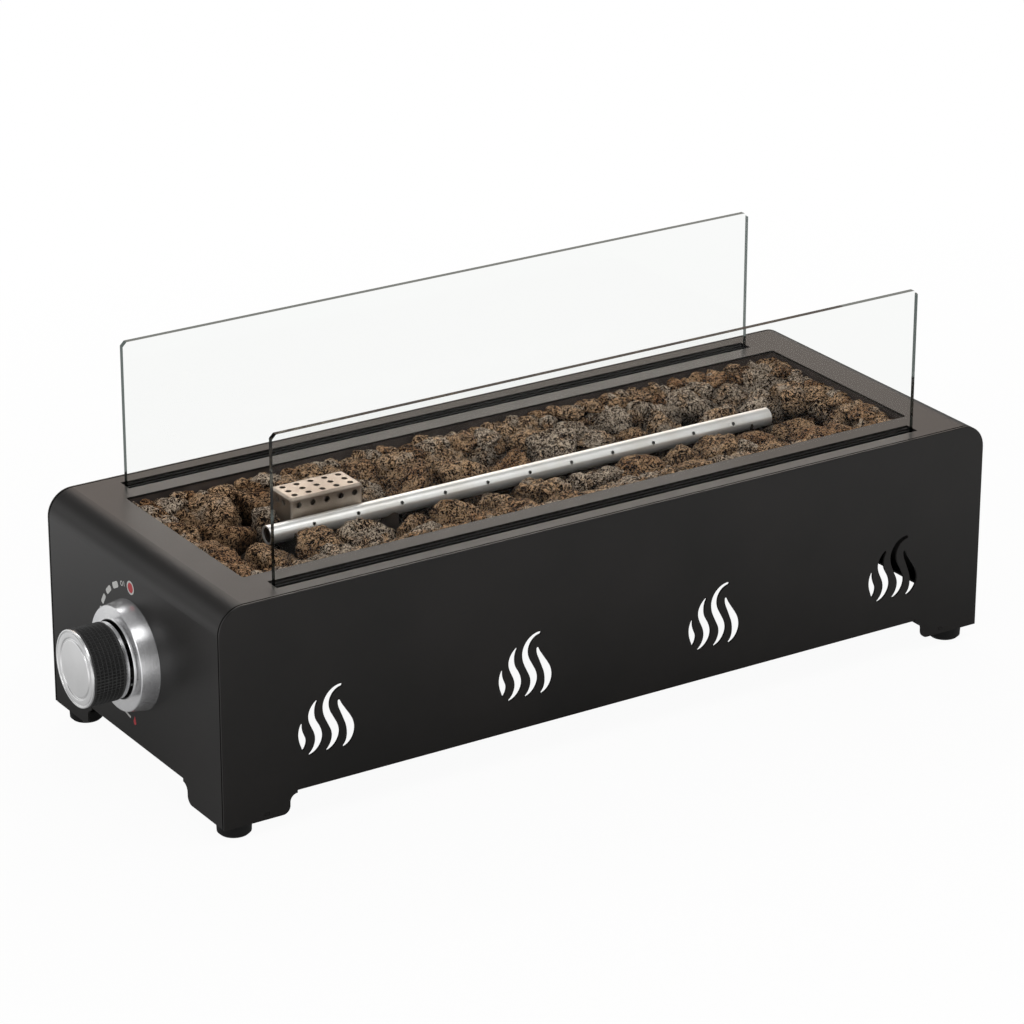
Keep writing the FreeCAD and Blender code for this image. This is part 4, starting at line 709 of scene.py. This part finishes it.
def drop():
    # flame mark: a disc with one side drawn out to a point
    high = dial["flameHigh"] * mm
    radius = high * dial["flameRound"]
    deselect()
    bpy.ops.mesh.primitive_circle_add(vertices=32, radius=radius, fill_type="NGON")
    piece = bpy.context.object
    piece.data.polygons[0].select = False
    for part in (piece.data.vertices, piece.data.edges):
        part.foreach_set("select", [False] * len(part))
    for corner in piece.data.vertices:
        corner.select = corner.co.y > radius * 0.995  # only the one at the top
    bpy.ops.object.mode_set(mode="EDIT")
    bpy.ops.mesh.select_mode(type="VERT")
    bpy.ops.transform.translate(value=(0, high * dial["flamePull"], 0), use_proportional_edit=True,
                                proportional_edit_falloff="SHARP", proportional_size=high * dial["flameSoft"])
    upright = Matrix.Rotation(math.pi, 4, "Z")
    return printed(piece, redInk, onLeftFace(dial["flameAt"], dial["radius"] + dial["flameOut"]) @ upright)


def dialMarks():
    whites = [ring(dial["spot"], dial["spotRed"], whiteInk, onLeftFace(dial["spotAt"]))]
    for number in range(dial["blocks"]):
        wide = dial["blockWide"] + (dial["blockEnd"] - dial["blockWide"]) * number / (dial["blocks"] - 1)
        place = onLeftFace(dial["firstBlock"] + number * dial["blockStep"])
        whites.append(bar(dial["blockLong"], wide, dial["blockSoft"], place))
    turn = dial["lineTurn"] / dial["lineParts"]
    long = dial["radius"] * math.radians(turn) * dial["lineLap"]
    for number in range(dial["lineParts"]):
        place = onLeftFace(dial["lineAt"] + number * turn, dial["radius"] + dial["lineOut"])
        whites.append(bar(long, dial["lineWide"], dial["lineSoft"], place))
    # plain switch signs, a round and an upright stroke
    high, out = dial["onHigh"], dial["radius"] + dial["onOut"]
    place = onLeftFace(dial["onAt"], out, high * dial["onRound"])
    whites.append(ring(high / 2, high / 2 - dial["onLine"], whiteInk, place))
    place = onLeftFace(dial["onAt"], out, high * dial["onStroke"])
    whites.append(bar(dial["strokeWide"], high, dial["strokeSoft"], place))
    white = joined(whites, "dial_print_white")
    spot = ring(dial["spotRed"] - dial["redGap"], 0, redInk, onLeftFace(dial["spotAt"]))
    red = joined([spot, drop()], "dial_print_red")
    for piece in (white, red):
        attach(piece, "casing")


dialMarks()
print("dial ready")


# floor, light and camera

rearRight = (0.7, 0.7, 0)


def rayShares(tree):
    # what the camera sees, also through glass, and what gloss mirrors
    ray = addNode(tree, "LightPath").outputs
    seen = addNode(tree, "Math", operation="ADD", use_clamp=True, in0=ray["Is Camera Ray"],
                   in1=ray["Is Transmission Ray"]).outputs[0]
    mirrored = addNode(tree, "Math", operation="SUBTRACT", use_clamp=True, in0=ray["Is Glossy Ray"],
                       in1=ray["Is Transmission Ray"]).outputs[0]
    return seen, mirrored


def studioFloor():
    deselect()
    bpy.ops.mesh.primitive_circle_add(vertices=96, radius=6.0, fill_type="NGON", location=(0, 0, 0))
    floor = bpy.context.object
    floor.name = "studio_floor"
    material, tree, shader, out, coords = newMaterial("paperSweep", Base_Color="#f0efed", Roughness=0.9,
                                                      Specular_IOR_Level=0.0)
    seen, mirrored = rayShares(tree)
    near = addNode(tree, "Mapping", Vector=coords, Scale=(0.75, 1, 0), Location=(0, -0.05, 0))
    far = addNode(tree, "VectorMath", operation="LENGTH", in0=near.outputs[0]).outputs["Value"]
    seenShare = addNode(tree, "MapRange", Value=far, From_Min=0.35, From_Max=0.9, To_Min=0.95, To_Max=1.0).outputs[0]
    share = addNode(tree, "Math", operation="MULTIPLY_ADD", in0=seen, in1=seenShare, in2=mirrored)
    # what metal and coat mirror of the paper: dim close to the casing, painted shade for the casing's
    # shadow on the paper, white further out, and dim again far off to the rear right, where the paper ends
    dim = addNode(tree, "MapRange", Value=far, From_Min=0.18, From_Max=0.55, To_Min=-0.9, To_Max=0.3).outputs[0]
    behind = addNode(tree, "VectorMath", operation="DOT_PRODUCT", in0=coords, in1=rearRight).outputs["Value"]
    ends = addNode(tree, "MapRange", Value=behind, From_Min=0.3, From_Max=0.8, To_Min=0.0, To_Max=-1.0).outputs[0]
    dim = addNode(tree, "Math", operation="ADD", in0=dim, in1=ends).outputs[0]
    level = addNode(tree, "Math", operation="MULTIPLY_ADD", in0=mirrored, in1=dim, in2=1.0).outputs[0]
    glow = addNode(tree, "Emission", Color=(1, 1, 1, 1), Strength=level)
    mix = addNode(tree, "MixShader", Fac=share.outputs[0], in1=shader.outputs[0], in2=glow.outputs[0])
    tree.links.new(mix.outputs[0], out.inputs["Surface"])
    floor.data.materials.append(material)


def softbox(name, place, aim, size, power, colour="#ffffff"):
    lamp = bpy.data.lights.new(name, "AREA")
    lamp.shape = "RECTANGLE"
    lamp.size, lamp.size_y = size
    lamp.energy = power
    lamp.color = hexColour(colour)[:3]
    holder = newObject(name, lamp)
    holder.location = place
    holder.rotation_euler = (Vector(place) - Vector(aim)).to_track_quat("Z", "Y").to_euler()


def whiteWorld():
    world = bpy.data.worlds.new("whiteRoom")
    bpy.context.scene.world = world
    world.use_nodes = True
    tree = world.node_tree
    tree.nodes.clear()
    seen, mirrored = rayShares(tree)
    # in reflections the room is white at the horizon and grey above, as over a paper sweep, and
    # dark to the rear right
    direction = addNode(tree, "TexCoord").outputs["Generated"]
    height = addNode(tree, "SeparateXYZ", Vector=direction).outputs["Z"]
    room = addNode(tree, "MapRange", Value=height, From_Min=0.12, From_Max=0.4, To_Min=0.6, To_Max=-0.08).outputs[0]
    behind = addNode(tree, "VectorMath", operation="DOT_PRODUCT", in0=direction, in1=rearRight).outputs["Value"]
    ends = addNode(tree, "MapRange", Value=behind, From_Min=0.5, From_Max=0.85, To_Min=1.0, To_Max=0.0).outputs[0]
    room = addNode(tree, "Math", operation="MULTIPLY", in0=room, in1=ends).outputs[0]
    level = addNode(tree, "MapRange", Value=seen, To_Min=0.45, To_Max=1.0).outputs[0]
    level = addNode(tree, "Math", operation="MULTIPLY_ADD", in0=mirrored, in1=room, in2=level)
    sky = addNode(tree, "Background", Color=(1, 1, 1, 1), Strength=level.outputs[0])
    addNode(tree, "OutputWorld", Surface=sky.outputs[0])


def aimCamera():
    # angles in degrees, lengths in millimetres; across and up slide the view sideways
    shot = {"azimuth": -32.750, "elevation": 22.395, "roll": 0.085, "across": -8.776, "up": 28.075,
            "distance": 2872.6, "middle": 90.5, "focalPixels": 4233.56, "framePixels": 1024, "sensor": 36.0}
    azimuth, elevation, roll = (math.radians(shot[key]) for key in ("azimuth", "elevation", "roll"))
    flat = math.cos(elevation)
    back = Vector((math.sin(azimuth) * flat, -math.cos(azimuth) * flat, math.sin(elevation)))
    right = (-back).cross(Vector((0, 0, 1))).normalized()
    top = right.cross(-back)
    right, top = math.cos(roll) * right + math.sin(roll) * top, -math.sin(roll) * right + math.cos(roll) * top
    place = back * shot["distance"] + right * shot["across"] + top * shot["up"] + Vector((0, 0, shot["middle"]))
    lens = bpy.data.cameras.new("camera")
    lens.sensor_width = shot["sensor"]
    lens.lens = shot["focalPixels"] * shot["sensor"] / shot["framePixels"]
    lens.clip_start, lens.clip_end = 0.1, 50
    camera = newObject("camera", lens)
    camera.matrix_world = Matrix.Translation(place * mm) @ Matrix((right, top, back)).transposed().to_4x4()
    bpy.context.scene.camera = camera


studioFloor()
softbox("rearBox", (1.25, 2.3, 1.2), (0, 0, 0.1), (2.0, 1.1), 12.5, "#ffeada")
softbox("overheadBox", (0.15, -0.8, 1.85), (0, 0, 0.1), (1.7, 0.75), 10)
softbox("overheadStrip", (0.35, 1.25, 1.5), (0, 0, 0.1), (1.2, 0.3), 4)
softbox("leftRearBox", (-1.6, 2.0, 0.95), (-0.3, 0, 0.15), (0.9, 0.9), 2.2)
softbox("leftBox", (-2.0, -0.6, 1.2), (-0.2, 0, 0.1), (0.9, 0.9), 6)
whiteWorld()
aimCamera()
bpy.context.scene.view_settings.view_transform = "Standard"
print("studio ready")
